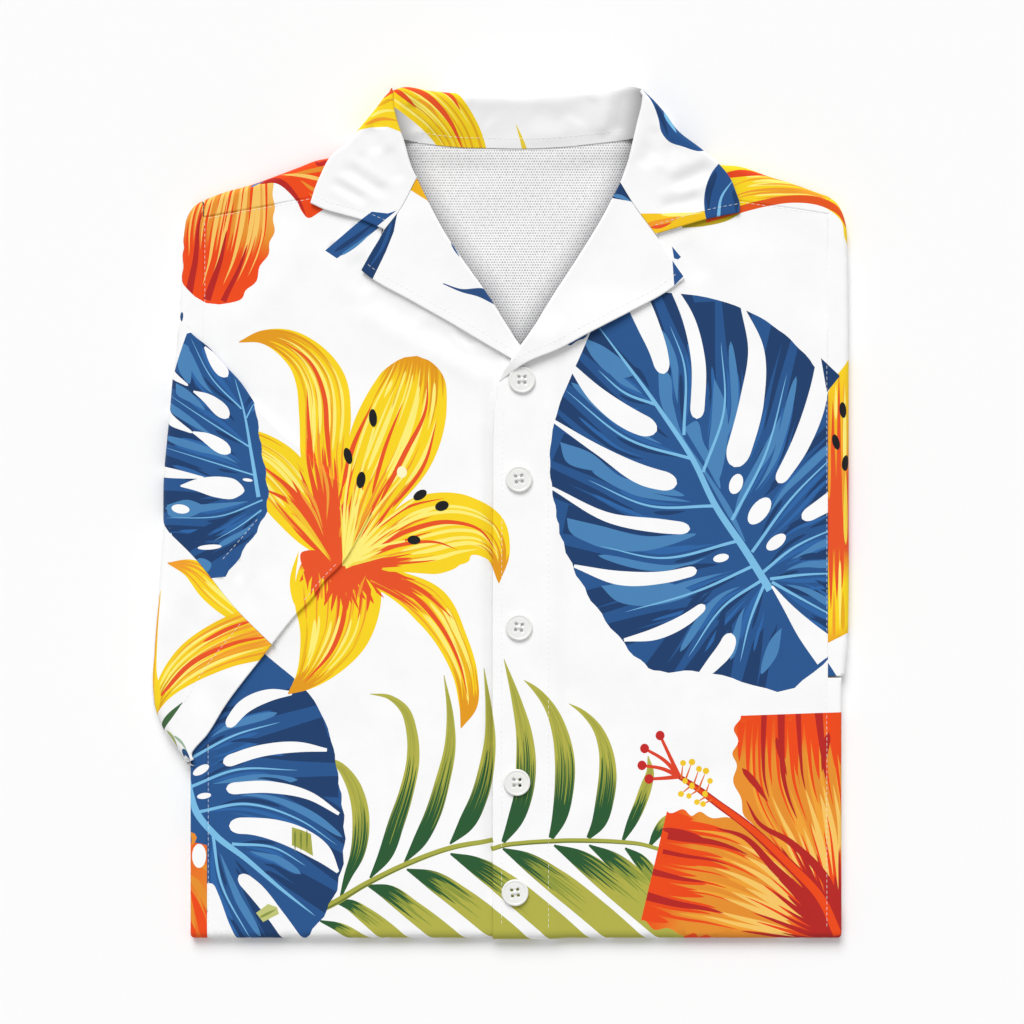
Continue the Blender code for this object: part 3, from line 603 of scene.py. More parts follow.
LILY_PETALS = (  # rows, ground, brushes and how far back the tip is round
    ([(-104.3, -23.7, 19.2), (-104.3, -39.7, 26.2), (-104.3, -55.7, 27.5), (-106.9, -74.9, 23.7),
      (-114.6, -92.2, 16), (-124.8, -106.2, 7.7), (-136.3, -115.8, 0.3)],
     LILY_GROUND, LILY_BRUSHES, 0),
    ([(-96.6, -33.9, 5.8), (-67.8, -45.4, 9), (-45.4, -59.5, 12.8), (-31.4, -81.3, 9.9),
      (-22.4, -105.6, 7.7), (-21.1, -123.5, 5.8), (-25.6, -137.6, 0.3)],
     LILY_GROUND, LILY_BRUSHES, 0),
    ([(-101.8, -30.1, 5.1), (-117.1, -9.6, 15.4), (-129.9, 7, 18.6), (-150.4, 30.1, 18.6),
      (-170.2, 40.3, 14.1), (-189.4, 45.4, 0.6)],
     LILY_GROUND, LILY_BRUSHES, 0),
    ([(-104.3, -30.1, 5.1), (-109.4, 8.3, 11.5), (-113.3, 37.1, 14.7), (-112.6, 62.7, 16.6),
      (-115.2, 83.2, 16), (-125.4, 99.8, 12.2), (-138.9, 109.4, 8.6), (-153, 112.6, 4.2),
      (-167.7, 109.4, 0.3)], LILY_GROUND, LILY_BRUSHES, 0),
    ([(-99.2, -27.5, 5.8), (-83.8, 13.4, 20.5), (-69.1, 44.8, 28.2), (-60.2, 69.1, 26.2),
      (-55.7, 86.4, 21.1), (-53.8, 100.5, 16.6)],
     LILY_GROUND, TOP_BRUSHES, 17),
    ([(-96.6, -31.4, 3.8), (-74.2, -23.7, 14.7), (-46.7, -14.1, 25.6), (-24.3, -10.9, 22.4),
      (-10.2, -14.7, 16.6), (-2.6, -25, 9), (-1.3, -44.8, 0.3)], LIT_GROUND, LIT_BRUSHES, 0),
)
LILY_STREAKS = (  # width and points
    (3.2, (-109.4, 27.5), (-111.4, 53.1), (-113.3, 75.5), (-122.2, 96.6), (-139.5, 110.1)),
    (2.56, (-120.3, 27.5), (-122.9, 53.1), (-124.2, 80)),
    (3.84, (-112.6, -17.3), (-131.8, 12.2), (-155.5, 32.6)),
    (3.2, (-121, -5.8), (-138.2, 9), (-153, 16)),
    (3.2, (-101.8, 14.7), (-95.4, 40.3), (-81.9, 71)),
    (2.56, (-82.6, 11.5), (-74.2, 41.6), (-62.7, 71)),
    (3.2, (-77.4, 7), (-62.1, 37.1), (-48, 67.2), (-46.7, 86.4)),
    (2.56, (-69.8, 3.2), (-49.3, 30.7), (-41, 59.5)),
    (3.2, (-83.8, -24.3), (-58.2, -10.9), (-32.6, -5.8), (-13.4, -10.9), (-2.6, -25)),
    (2.56, (-87, -28.2), (-64.6, -20.5), (-39, -19.2), (-27.5, -23.7)),
    (1.92, (-80.6, -10.9), (-59.5, 3.8), (-35.8, 9.6)),
    (3.2, (-86.4, -36.5), (-58.2, -51.2), (-39, -71.7), (-26.2, -97.3), (-21.1, -117.8)),
    (2.56, (-83.8, -38.4), (-51.8, -49.3), (-29.4, -68.5)),
    (2.24, (-87.7, -42.9), (-74.2, -49.3), (-62.1, -57)),
    (3.2, (-99.8, -49.3), (-100.5, -65.3), (-108.2, -87.7), (-126.1, -108.8)),
)
LILY_THROAT = [(-107.5, -27.5), (-115.8, -20.5), (-121, -8.3), (-117.1, 5.1), (-108.8, 8.3),
               (-103, 0.6), (-103.7, -14.1), (-103, -28.2), (-96.6, -35.2), (-82.6, -30.1),
               (-74.9, -32), (-80, -40.3), (-95.4, -45.4), (-109.4, -42.9), (-124.8, -37.8),
               (-127.4, -25), (-121, -23.7)]
LILY_THROAT_TIPS = (
    ((-109.4, -20.5), (-138.9, 19.8), (-133.8, 21.1), (-129.3, 28.8), (-123.5, 31.4), (-119.7, 39),
     (-114.6, 42.9), (-110.7, 31.4), (-105.6, 27.5), (-100.5, 21.1), (-97.3, 13.4), (-127.4, 8.3),
     (-128.6, 0.6)),
    ((-117.1, -27.5), (-128.6, -44.2), (-126.1, -49.3), (-121.6, -53.1), (-117.1, -56.3)),
    ((-103, -35.2), (-113.3, -59.5), (-108.8, -63.4), (-104.3, -58.2), (-99.8, -64.6),
     (-95.4, -58.2), (-90.9, -62.1), (-86.4, -55.7)),
    ((-95.4, -33.9), (-81.3, -58.2), (-74.9, -54.4), (-67.2, -50.6), (-62.1, -45.4), (-54.4, -42.9),
     (-63.4, -33.9), (-57, -28.8)),
)
LILY_LIGHTS = (
    (3.2, "#F4C22E", (-137.6, 10.2), (-124.2, -7.7), (-108.8, -29.4)),
    (2.56, "#F9D63A", (-133.8, -0.6), (-120.3, -16.6), (-108.8, -30.7)),
    (2.176, "#F2A23A", (-128, 21.8), (-118.4, 4.5), (-113.9, -9.6)),
    (2.048, "#F2A23A", (-114.6, 32.6), (-110.7, 14.1), (-111.4, -4.5)),
    (1.92, "#F4A63A", (-128.6, 13.4), (-119.7, 0.6), (-113.3, -14.7)),
    (3.84, YELLOW, (-131.2, -59.5), (-133.1, -42.9), (-129.3, -24.3)),
    (2.304, YELLOW, (-123.5, -58.9), (-124.8, -48), (-126.7, -36.5)),
    (1.92, "#F6A22C", (-114.6, -55.7), (-115.2, -46.1), (-116.5, -37.8)),
    (1.92, "#F49A2C", (-91.5, -54.4), (-89, -45.4), (-86.4, -39.7)),
    (2.56, YELLOW, (-79.4, -59.5), (-81.3, -50.6), (-86.4, -41.6)),
)
FILAMENTS = ((-81.3, 54.4), (-96.6, 31.4), (-88.3, 14.7), (-63.4, 22.4), (-55.7, 8.3), (-42.9, 3.2),
             (-61.4, -17.9))
ANTHERS = (
    (-81.9, 60.8, 2.6, 5.8, 5), (-97.9, 36.5, 2.6, 5.4, 15), (-89.6, 21.1, 2.9, 5.4, -8),
    (-51.8, 11.5, 4.8, 2.9, 32), (-37.8, 4.5, 4.5, 3.2, 18), (-55.7, -17.3, 4.2, 2.9, -4),
)


def draw_lily():
    dice = np.random.default_rng(5)
    made = []
    for rows, ground, brushes, blunt in LILY_PETALS:
        made += petal(rows, ground, brushes, dice, blunt)
    made.append(round_patch(LILY_THROAT, SCARLET))
    for foot, *tips in LILY_THROAT_TIPS:
        for k, tip in enumerate(tips):
            made.append(stroke([foot, tip], 6.4 - 1.2 * (k % 3), SCARLET, True))
    made += [stroke(points, width, SCARLET) for width, *points in LILY_STREAKS]
    made += strokes(*LILY_LIGHTS)
    heart = (-99.8, -33.9)
    for tip in FILAMENTS:
        near = tuple(h + (t - h) * 0.62 for h, t in zip(heart, tip))
        made.append(stroke([heart, near], 3.8, PALE_YELLOW, True))
        for k in (-1, 1):
            beside = (near[0] + k * 5, near[1] - k * 3)
            made.append(stroke([heart, beside], 2.3, "#F7DC50", True))
        bowed = ((heart[0] + tip[0]) / 2 - 2, (heart[1] + tip[1]) / 2 + 3)
        made.append(slip([(*heart, 1.2), (*bowed, 0.8), (*tip, 0.7)], PALE_YELLOW))
    made += [spot(*row, INK) for row in ANTHERS]
    return [*made, spot(-63.4, 26.2, 3.2, 3.8, 0, "#FFF9C8")]


LILY = draw_lily()

# Split leaves, three of them: beside the placket, at the lower left and on the sleeve.
BIG_LEAF = split_leaf(
    [(71.7, 138.9, 7.7), (92.2, 105, 60.2), (125.4, 35.8, 97.3), (152.3, -36.5, 89.6),
     (174.7, -81.3, 61.4), (182.4, -113.3, 6.4)],
    [(172.2, -49.3), (156.2, -23.7), (137, 5.1), (122.9, 33.9), (101.8, 65.9), (62.1, 119.7)],
    [[(99.8, 69.1), (79.4, 76.8), (62.1, 91.5)], [(122.2, 34.6), (82.6, 46.7), (41, 78.7)],
     [(135.7, 4.5), (95.4, 4.5), (55.7, 21.1)], [(151.7, -17.9), (101.8, -28.8), (63.4, -21.1)],
     [(161.3, -33.9), (127.4, -49.3), (79.4, -63.4)],
     [(167, -42.9), (143.4, -58.9), (119.7, -92.2)],
     [(169, -44.2), (159.4, -68.5), (153, -95.4)], [(117.1, 49.9), (116.5, 97.9), (108.2, 119.7)],
     [(129.3, 26.2), (142.7, 65.9), (140.8, 109.4)], [(147.8, -4.5), (169, 37.1), (183, 89)],
     [(160.6, -25), (185, 8.3), (220.2, 43.5)], [(167.7, -37.8), (185, -23.7), (223.4, -5.8)],
     [(172.2, -42.2), (191.4, -39.7), (223.4, -38.4)],
     [(173.4, -44.2), (191.4, -54.4), (222.1, -71)]],
    [([(41.6, 97.9, 1), (63.4, 73.6, 5.8), (85.8, 58.2, 7), (99.8, 52.5, 5.8)], 9),
     ([(32.6, 59.5, 1), (63.4, 39.7, 3.2), (92.2, 23.7, 6.4), (112.6, 18.6, 5.8)], 9),
     ([(32.6, 16, 1), (69.8, -3.2, 3.2), (101.8, -8.3, 4.5), (121, -10.2, 3.8)], 7),
     ([(46.7, -33.9, 1), (76.2, -41.6, 4.5), (105, -41, 3.8), (125.4, -36.5, 3.2)], 5),
     ([(78.7, -81.3, 1), (98.6, -77.4, 3.8), (117.8, -68.5, 3.8), (130.6, -58.9, 2.6)], 4),
     ([(122.2, -110.1, 1), (135.7, -96.6, 4.5), (144.6, -85.1, 5.1), (147.2, -76.8, 3.8)], 5),
     ([(82.6, 145.9, 7.7), (94.1, 120.3, 7), (100.5, 104.3, 5.8), (104.3, 89, 4.5)], 7),
     ([(109.4, 145.3, 1.9), (119.7, 124.8, 3.8), (126.1, 97.9, 4.5), (125.4, 60.2, 4.5)], 7),
     ([(154.2, 132.5, 1), (163.2, 104.3, 5.1), (160.6, 72.3, 7.7), (149.1, 29.4, 7.7)], 12),
     ([(205.4, 106.9, 1.9), (203.5, 78.7, 5.8), (191.4, 43.5, 5.8), (177.3, 19.2, 3.8)], 6),
     ([(237.4, 27.5, 6.4), (213.8, 9.6, 5.8), (192.6, -3.8, 3.8)], 6),
     ([(173.4, -46.7, 0.6), (182.4, -58.9, 2.6), (195.2, -74.9, 6.4), (210.6, -90.9, 10.2)], 1)],
    [(150.4, 18.6, 4.2, 6.7, -20), (165.4, 1.3, 5.4, 10.2, -38), (176, -18.6, 3.8, 7.4, -52),
     (140.8, -28.8, 5.1, 2.6, 12)],
    seed=21,
    light=[[(100.5, 92.8), (106.2, 90.2), (110.1, 70.4), (115.2, 51.8), (129.9, 28.8), (148.5, 0),
            (156.2, -18.6), (148.5, -7), (129.9, 25), (111.4, 51.8), (102.4, 70.4)],
           [(117.1, 54.4), (124.8, 58.9), (129.9, 44.2), (136.3, 33.9), (140.2, 15.4),
            (132.5, 28.8)],
           [(136.3, 86.4), (143.4, 70.4), (144.6, 44.2), (137.6, 20.5), (133.8, 30.7), (135, 62.7)],
           [(179.2, 62.7), (176, 44.2), (161.3, 20.5), (148.5, -5.8), (151, 7.7), (163.8, 33.9)],
           [(51.8, 112.6), (67.2, 105.6), (83.8, 87.7), (77.4, 86.4), (58.9, 99.2)],
           [(37.8, 45.4), (56.3, 39), (77.4, 23), (103.7, 17.9), (117.1, 11.5), (90.9, 14.1),
            (64, 25.6), (41, 33.9)],
           [(42.2, -3.2), (64, -8.3), (90.9, -14.7), (124.8, -13.4), (90.9, -24.3), (56.3, -19.2),
            (43.5, -10.9)],
           [(64, -46.7), (98.6, -42.9), (122.2, -50.6), (89, -59.5), (73, -55.7)],
           [(179.8, -73.6), (176, -92.2), (166.4, -103), (168.3, -90.9), (175.4, -77.4)]],
)
LOW_LEAF = split_leaf(
    [(-156.8, -89, 3.8), (-153, -122.2, 33.3), (-153, -177.3, 49.9), (-150.4, -241.3, 44.8),
     (-153, -295.7, 9)],
    [(-201.6, -170.9), (-193.9, -193.3), (-183, -206.1), (-163.8, -220.8), (-141.4, -240),
     (-119, -257.9)],
    [[(-200.3, -158.1), (-170.2, -142.1), (-141.4, -133.8)],
     [(-199, -175.4), (-170.2, -164.5), (-129.9, -164.5)],
     [(-193.9, -191.4), (-163.8, -186.2), (-128.6, -196.5), (-105, -212.5)],
     [(-172.2, -211.8), (-144.6, -214.4), (-124.8, -225.9)],
     [(-184.3, -206.7), (-179.8, -234.9), (-159.4, -274.6)]],
    [([(-133.8, -115.2, 1.3), (-147.8, -116.5, 3.8), (-163.8, -123.5, 4.5), (-175.4, -137, 3.2)],
      5),
     ([(-111.4, -151.7, 1), (-128.6, -149.8, 3.2), (-154.2, -152.3, 3.8), (-177.9, -160, 3.8)], 6),
     ([(-103.7, -192.6, 1), (-122.2, -181.1, 2.6), (-147.8, -175.4, 3.8), (-176, -176.6, 3.8)], 6),
     ([(-104.3, -229.8, 1), (-114.6, -217.6, 6.1), (-127.4, -209.3, 7.4), (-144.6, -202.9, 6.7),
       (-160.6, -200.3, 5.4), (-174.1, -200.3, 5.1)], 8),
     ([(-124.8, -286.1, 5.8), (-144.6, -257.3, 5.1), (-157.4, -241.3, 5.1), (-167.7, -231.7, 3.8)],
      6),
     ([(-173.4, -286.1, 9.6), (-180.5, -263.7, 6.4), (-184.3, -247.7, 4.5), (-187.5, -236.8, 3.2)],
      4)],
    [(-192, -164.5, 5.8, 2.6, 30), (-190.1, -181.1, 4.5, 1.9, 8)],
    seed=22,
)
SLEEVE_LEAF = split_leaf(
    [(-199, 115.2, 1.9), (-190.7, 89, 23), (-188.8, 40.3, 35.8), (-188.2, -4.5, 37.1),
     (-184.3, -41.6, 9)],
    [(-154.9, 10.2), (-159.4, 37.1), (-164.5, 65.9), (-170.2, 86.4)],
    [[(-156.2, 23.7), (-183, 32), (-218.2, 42.9)], [(-160.6, 42.2), (-186.2, 58.2), (-215, 77.4)],
     [(-165.8, 66.6), (-185, 86.4), (-198.4, 112)], [(-152.3, 8.3), (-176.6, -1.3), (-215, -3.2)],
     [(-153, 1.9), (-167, -8.3), (-183.7, -17.9)],
     [(-162.6, 60.8), (-159.4, 67.2), (-154.9, 73.6)]],
    [([(-224.6, 97.9, 5.1), (-210.6, 88.3, 2.6), (-199.7, 81.3, 0.6)], 1),
     ([(-224.6, 71, 4.5), (-210.6, 58.9, 3.2), (-197.1, 51.2, 0.6)], 1),
     ([(-225.9, 27.5, 3.8), (-211.8, 25.6, 3.2), (-189.4, 22.4, 0.6)], 1),
     ([(-189.4, 106.2, 0.6), (-184.3, 99.2, 3.2), (-179.2, 92.2, 4), (-174.7, 87, 2.9)], 5),
     ([(-196.5, 77.8, 0.5), (-187.5, 73, 3.2), (-179.8, 66.6, 4.5), (-174.1, 60.8, 3.5)], 6),
     ([(-197.1, 51.8, 0.5), (-188.2, 48, 3.2), (-179.8, 42.9, 4.4), (-172.8, 38.4, 3.2)], 6),
     ([(-204.8, 17.3, 0.5), (-194.6, 17.9, 3.8), (-181.1, 16.6, 6.7), (-169.6, 15, 6.1),
       (-163.8, 14.1, 3.8)], 9)],
    [(-204.8, 2.6, 5.8, 2.9, -8), (-186.2, -21.8, 7.7, 1.6, 4), (-161.9, 21.1, 3.2, 1, -8)],
    seed=23, stem=2.6,
    light=[[(-208, 103), (-201.6, 107.5), (-197.8, 91.5), (-199, 82.6), (-205.4, 90.2)],
           [(-208, 83.2), (-200.3, 78.7), (-189.4, 65.9), (-199, 71), (-207.4, 76.2)],
           [(-213.8, 5.1), (-199, 8.3), (-189.4, 3.2), (-199, -2.6), (-213.1, -0.6)],
           [(-199, -35.2), (-192.6, -28.8), (-185, -32.6), (-187.5, -37.8)]],
)

# Palm frond: leaflets deep green at the stem, brushed out into olive.
FROND_GROUND = ((0, LEAF_GREEN), (0.2, LEAF_GREEN), (0.36, "#86913F"), (0.48, OLIVE), (1, OLIVE))
FROND_BRUSHES = (
    Brush("#8E9A3E", 5, 0.2, 0.6, 1.3, 0.7), Brush(LEAF_GREEN, 8, 0.08, 0.5, 1.7, 0.85),
    Brush("#A5A445", 3, 0.9, 0.5, 1.0, 0.6),
)
LOW_GROUND = ((0, LEAF_GREEN), (0.1, LEAF_GREEN), (0.2, "#86913F"), (0.32, OLIVE), (1, OLIVE))
LOW_BRUSHES = (
    Brush("#8E9A3E", 6, 0.16, 0.5, 1.6, 0.75), Brush(LEAF_GREEN, 8, 0.04, 0.32, 2.0, 0.85),
)
LEAFLETS = (
    [(-103, -247, 0.6), (-97.9, -232.3, 2.6), (-92.2, -218.9, 4.5), (-89.6, -199, 5.5),
     (-90.9, -185.6, 5.2), (-96, -171.5, 4.2), (-105, -160.6, 2.2), (-119.7, -156.8, 0.2)],
    [(-83.8, -233.6, 0.6), (-74.2, -218.9, 4.5), (-67.2, -199, 5.2), (-60.2, -177.3, 4.6),
     (-56.3, -157.4, 4.1), (-57, -140.8, 3.5), (-62.1, -125.4, 2.8), (-71.7, -117.8, 1.5),
     (-83.8, -115.8, 0.2)],
    [(-61.7, -223.4, 0.6), (-52.5, -210.6, 4.2), (-44.2, -193.9, 5.1), (-37.3, -171.5, 4.7),
     (-32.6, -149.1, 3.6), (-32.6, -129.3, 2.2), (-36.5, -103.7, 0.2)],
    [(-32.6, -211.8, 0.6), (-22.4, -199, 5.1), (-14.3, -182.4, 5.5), (-9.3, -163.2, 4.9),
     (-7, -143.4, 3.5), (-8, -124.2, 2), (-10.9, -99.2, 0.2)],
    [(1.3, -210.6, 1.3), (9, -196.5, 4.9), (14.3, -179.8, 6), (16, -160, 6.4), (14.7, -140.8, 5.1),
     (10.2, -121, 3.2), (1.9, -93.4, 0.2)],
    [(32, -208, 1.7), (36.8, -196.5, 4.5), (40.3, -177.3, 6.1), (40.7, -157.4, 6.3),
     (37.8, -140.8, 5.1), (30.7, -123.5, 3.3), (20.5, -111.4, 1.5), (14.7, -106.9, 0.2)],
    [(55.7, -208, 1.3), (62.1, -199, 4.4), (66.6, -182.4, 5.8), (68.3, -165.8, 5.6),
     (66.9, -151.7, 4.4), (61.4, -137.6, 2.9), (51.2, -126.7, 1.4), (43.5, -122, 0.2)],
    [(78.1, -209.3, 1), (83.8, -197.8, 3.2), (89, -186.2, 3.8), (93.2, -174.1, 3.6),
     (95.4, -166.4, 2.6), (94.1, -155.5, 0.3)],
    [(95.4, -212.5, 1), (99.2, -206.1, 2.9), (105.6, -197.8, 3.8), (114.6, -191.4, 0.6)],
    [(-115.8, -261.1, 0.6), (-103, -265.6, 3.2), (-90.2, -273.9, 4.5), (-77.4, -284.8, 5.1)],
    [(-106.9, -248.6, 0.6), (-96.6, -250.9, 3.6), (-87, -257.3, 5.1), (-74.2, -267.5, 6.1),
     (-59.5, -281, 6.4)],
    [(-85.4, -238.3, 0.6), (-73, -242.6, 4.9), (-56.6, -254.5, 6.4), (-36.5, -270.4, 7),
     (-17.3, -287.4, 7)],
    [(-60.3, -228, 0.6), (-44.8, -234.4, 5.8), (-25.6, -247.2, 7.7), (-3.2, -264.8, 8.3),
     (21.1, -285.4, 7.7)],
    [(-32.4, -218, 0.6), (-17, -225, 5.4), (1.1, -236.9, 7.7), (23.4, -255, 8.6),
     (57, -284.2, 8.3)],
    [(1.1, -214.6, 0.6), (15, -221.6, 5.1), (35.8, -236.1, 7.9), (61.1, -256.4, 8.6),
     (92.8, -284.2, 8.3)],
    [(33.9, -212.5, 0.6), (49.9, -221.1, 5.6), (70.8, -236.8, 8.1), (94.5, -256.4, 8.6),
     (127.4, -284.2, 8.3)],
    [(56.3, -212.5, 0.6), (70.8, -221.4, 4.9), (89, -236.8, 6.8), (111.4, -257.9, 7.7),
     (133.8, -279.7, 7.7)],
    [(79.4, -214.4, 0.6), (88, -221.4, 3.8), (96.6, -231.4, 4.9), (121, -257.3, 5.1)],
)
FROND_STEMS = (
    [(-176.6, -272, 2.6), (-147.8, -263.7, 2.3), (-109.4, -250.9, 2.2), (-86.4, -237.4, 1.9),
     (-58.9, -224, 1.8), (-32.6, -214.4, 1.7), (-5.1, -209.3, 1.5)],
    [(-6.4, -215, 1.5), (1.9, -212.5, 1.5), (12.2, -211.2, 1.5), (31.4, -209.9, 1.5),
     (52.5, -209.6, 1.5), (77.4, -210.6, 1.4), (89, -211.8, 1.3), (103, -215.7, 1.3)],
)


def draw_frond():
    dice = np.random.default_rng(8)
    made = []
    for rows in LEAFLETS:
        hangs = rows[-1][1] < rows[0][1]
        ground, brushes = (LOW_GROUND, LOW_BRUSHES) if hangs else (FROND_GROUND, FROND_BRUSHES)
        made += petal(rows, ground, brushes, dice)
    for stem in FROND_STEMS:
        outline, line = blade(stem)
        made.append(Print(outline, plain("#A9AB47")))
        made.append(stroke(moved(line, 1.1), 1.2, "#6F7A35", within=outline))
    return made


FROND = draw_frond()

# Hibiscus: broad ruffled petals, flame at the rim and crimson at the heart, with a long
# stamen column that carries yellow anthers and five red stigmas.
HIBISCUS_GROUND = ((0, CRIMSON), (0.1, CRIMSON), (0.2, FLAME), (0.28, TANGERINE), (0.82, TANGERINE),
                   (0.9, "#EE6A20"), (1, FLAME))
HIBISCUS_BRUSHES = (
    Brush("#F2A436", 8, 0.3, 0.8, 3.4, 0.8),
    Brush(FLAME, 15, 1.0, 0.76, 6.0, 0.95),
    Brush(FLAME, 8, 1.0, 0.55, 2.6, 0.85),
    Brush(APRICOT, 9, 0.22, 0.6, 4.2, 0.72),
    Brush(CRIMSON, 4, 1.0, 0.62, 4.4, 0.85),
    Brush(FLAME, 9, 0.06, 0.46, 3.6, 0.85),
    Brush(CRIMSON, 9, 0.0, 0.36, 5.0, 0.85),
)
HIBISCUS_PETALS = (  # each petal's middle line and half widths
    [(217, -276.5, 6.4), (191.4, -302.1, 25.6), (153, -305.3, 38.4), (114.6, -302.1, 35.2)],
    [(220.2, -273.3, 6.4), (242.6, -234.9, 32), (255.4, -196.5, 44.8), (261.8, -164.5, 38.4)],
    [(215.7, -273.3, 7.7), (191.4, -260.5, 17.9), (162.6, -243.8, 33.3), (137, -233.6, 38.4),
     (114.6, -229.8, 38.4), (97.9, -225.9, 37.1)],
    [(214.4, -270.1, 6.4), (207.4, -234.9, 17.9), (199, -202.9, 30.7), (188.8, -170.9, 38.4),
     (186.9, -148.5, 37.1), (186.2, -128.6, 34.6)],
)
STIGMAS = (((101.8, -142.4), (108.8, -157.4)), ((91.9, -150.7), (105, -158.7)),
           ((90.2, -161.5), (103.7, -163.8)), ((94.7, -170.2), (105.6, -169.6)))
YELLOW_ANTHERS = (
    (116.5, -160, 1.9, 1.9), (122.2, -159.4, 2.1, 2.1), (126.7, -163.8, 1.9, 2),
    (131.2, -165.1, 2.1, 2.1), (133.8, -171.5, 1.8, 1.9), (117.8, -171.5, 1.7, 1.9),
    (122.2, -174.7, 1.7, 2.2), (130.6, -179.8, 1.8, 2), (115.2, -179.8, 2, 1.9),
    (120.3, -181.1, 1.7, 1.8), (125.4, -185, 1.9, 1.8), (129.3, -186.2, 1.9, 1.9),
)


def draw_hibiscus():
    dice = np.random.default_rng(14)
    made = []
    for rows in HIBISCUS_PETALS:
        made += petal(rows, HIBISCUS_GROUND, HIBISCUS_BRUSHES, dice, ruffle=2.0)
    made += [
        stroke([(218.2, -277.1), (195.2, -247), (174.7, -227.2), (154.2, -206.7), (137.6, -201.6)],
               9.0, CRIMSON, True),
        stroke([(218.2, -277.1), (208, -234.9), (185, -210.6), (164.5, -197.8), (156.8, -183.7)],
               8.0, CRIMSON, True),
        stroke([(176, -143.4), (178.6, -153), (183, -168.3)], 3.6, CRIMSON),
        stroke([(154.2, -163.2), (161.9, -172.2), (170.9, -185)], 4.4, CRIMSON),
        stroke([(209.9, -140.2), (207.4, -151.7), (205.4, -165.8)], 4.6, CRIMSON),
        stroke([(103, -202.2), (121, -206.1), (135.7, -211.2)], 4.4, CRIMSON),
    ]
    column = [(215.7, -270.7, 3.8), (209.9, -254.7, 3.8), (194.6, -235.5, 3.6),
              (174.7, -215.7, 3.1), (154.9, -197.8, 2.7), (138.9, -186.2, 2.4), (125.4, -176, 2),
              (113.3, -168.3, 1.5)]
    outline, line = blade(column)
    made.append(Print(outline, plain(CRIMSON)))
    made += brushed(line, (Brush(FLAME, 3, 0.0, 0.98, 2.6, 0.55),), dice, outline)
    fork = (113.9, -168.6)
    for tip, bow in STIGMAS:
        made.append(slip([(*fork, 1.5), (*bow, 1.2), (*tip, 0.9)], "#DD4428"))
    made += [spot(*tip, 2.9, 3.1, 0, "#C42A28") for tip, _ in STIGMAS]
    for x, y, wide, high in YELLOW_ANTHERS:
        foot = nearest(line, np.array([[x, y]]))[0][0]
        made.append(stroke([tuple(foot + (2, -2)), (x, y)], 1.4, "#E36A2A", True))
    return made + [spot(x, y, wide, high, 0, "#F3C92B") for x, y, wide, high in YELLOW_ANTHERS]


HIBISCUS = draw_hibiscus()

# Parts of further motifs that the cut leaves on each piece.
dice = np.random.default_rng(31)
SHOULDER_BLOOM = petal(
    [(-164.5, 251.5, 14.1), (-170.9, 206.7, 25.6), (-175.4, 181.1, 29.4), (-179.8, 160.6, 25.6),
     (-185, 145.9, 21.8), (-188.8, 134.4, 19.2)],
    ((0, CRIMSON), (0.2, FLAME), (0.3, APRICOT), (0.6, TANGERINE), (0.72, FLAME), (1, FLAME)),
    (Brush(TANGERINE, 6, 0.2, 0.8, 3.6, 0.85), Brush(APRICOT, 11, 0.25, 0.85, 3.0, 0.88),
     Brush(FLAME, 15, 0.98, 0.55, 3.4, 0.93), Brush(FLAME, 7, 0.1, 0.6, 2.4, 0.9),
     Brush(CRIMSON, 3, 0.97, 0.62, 4.2, 0.7)),
    dice, 16, 1.6,
)
SHOULDER_BLOOM.append(round_patch(
    [(-159.4, 209.3), (-147.8, 213.1), (-139.5, 210.6), (-131.8, 202.9), (-128, 193.9),
     (-123.5, 188.8), (-117.1, 192), (-109.4, 197.8), (-95.4, 206.7), (-95.4, 238.7),
     (-128.6, 232.3), (-153, 220.8)], FLAME,
))
SHOULDER_BLOOM += strokes(
    (3.2, TANGERINE, (-99.8, 222.7), (-119, 219.5), (-138.2, 215.7)),
    (2.56, APRICOT, (-109.4, 211.8), (-125.4, 215.7), (-141.4, 217)),
    (3.2, TANGERINE, (-106.2, 206.7), (-119, 206.7), (-128.6, 213.1)),
    (2.56, TANGERINE, (-109.4, 200.3), (-117.1, 199), (-122.9, 205.4)),
    (3.84, CRIMSON, (-155.5, 211.2), (-144.6, 213.1), (-129.9, 200.3), (-124.8, 190.1)),
    (3.2, CRIMSON, (-110.7, 225.9), (-117.1, 223.4), (-119.7, 225.9)),
    (1.92, SKY, (-160.6, 208.6), (-156.8, 211.2), (-151.7, 213.1)),
)
SHOULDER_PETAL = [round_patch(
    [(121, 183.7), (117.1, 188.8), (127.4, 206.7), (131.2, 232.3), (146.6, 238.7), (191.4, 222.7),
     (231, 202.9), (228.5, 168.3), (220.8, 174.7), (218.2, 186.2), (205.4, 196.5), (188.2, 199.7),
     (169, 196.5), (151.7, 191.4), (137, 186.2)], YELLOW,
)]
SHOULDER_PETAL += brushed(
    blade([(127.4, 191.4, 5.1), (149.8, 206.7, 11.5), (181.8, 210.6, 11.5), (205.4, 206.7, 8.3),
           (219.5, 197.1, 5.1)])[1],
    (Brush(PALE_YELLOW, 5, 0.35, 0.8, 2.0, 0.6), Brush(AMBER, 7, 0.9, 0.3, 1.8, 0.8)), dice,
)
# The olive strip is painted shadow: the yellow petal darkened along the collar leaf's lower edge.
SHOULDER_PETAL += [
    slip([(115.8, 185, 2.6), (130.6, 186.9, 3.2), (145.3, 190.1, 2.6), (154.2, 193.9, 1.3)],
         "#B9A21C"),
    stroke([(135, 227.8), (141.4, 226.6), (149.8, 225.9)], 2.4, "#6E9A3A"),
]
SHOULDER_PETAL += [
    slip([(131.2, 186.9, 1.3), (151.7, 193.9, 2.2), (169, 198.4, 2.3), (188.2, 201, 2.4),
          (205.4, 199, 2.6), (217, 192.6, 2.2), (222.1, 183.7, 1)], "#E5561E"),
    stroke([(141.4, 215.7), (154.2, 217.6), (173.4, 217)], 4.6, "#E5461E"),
]
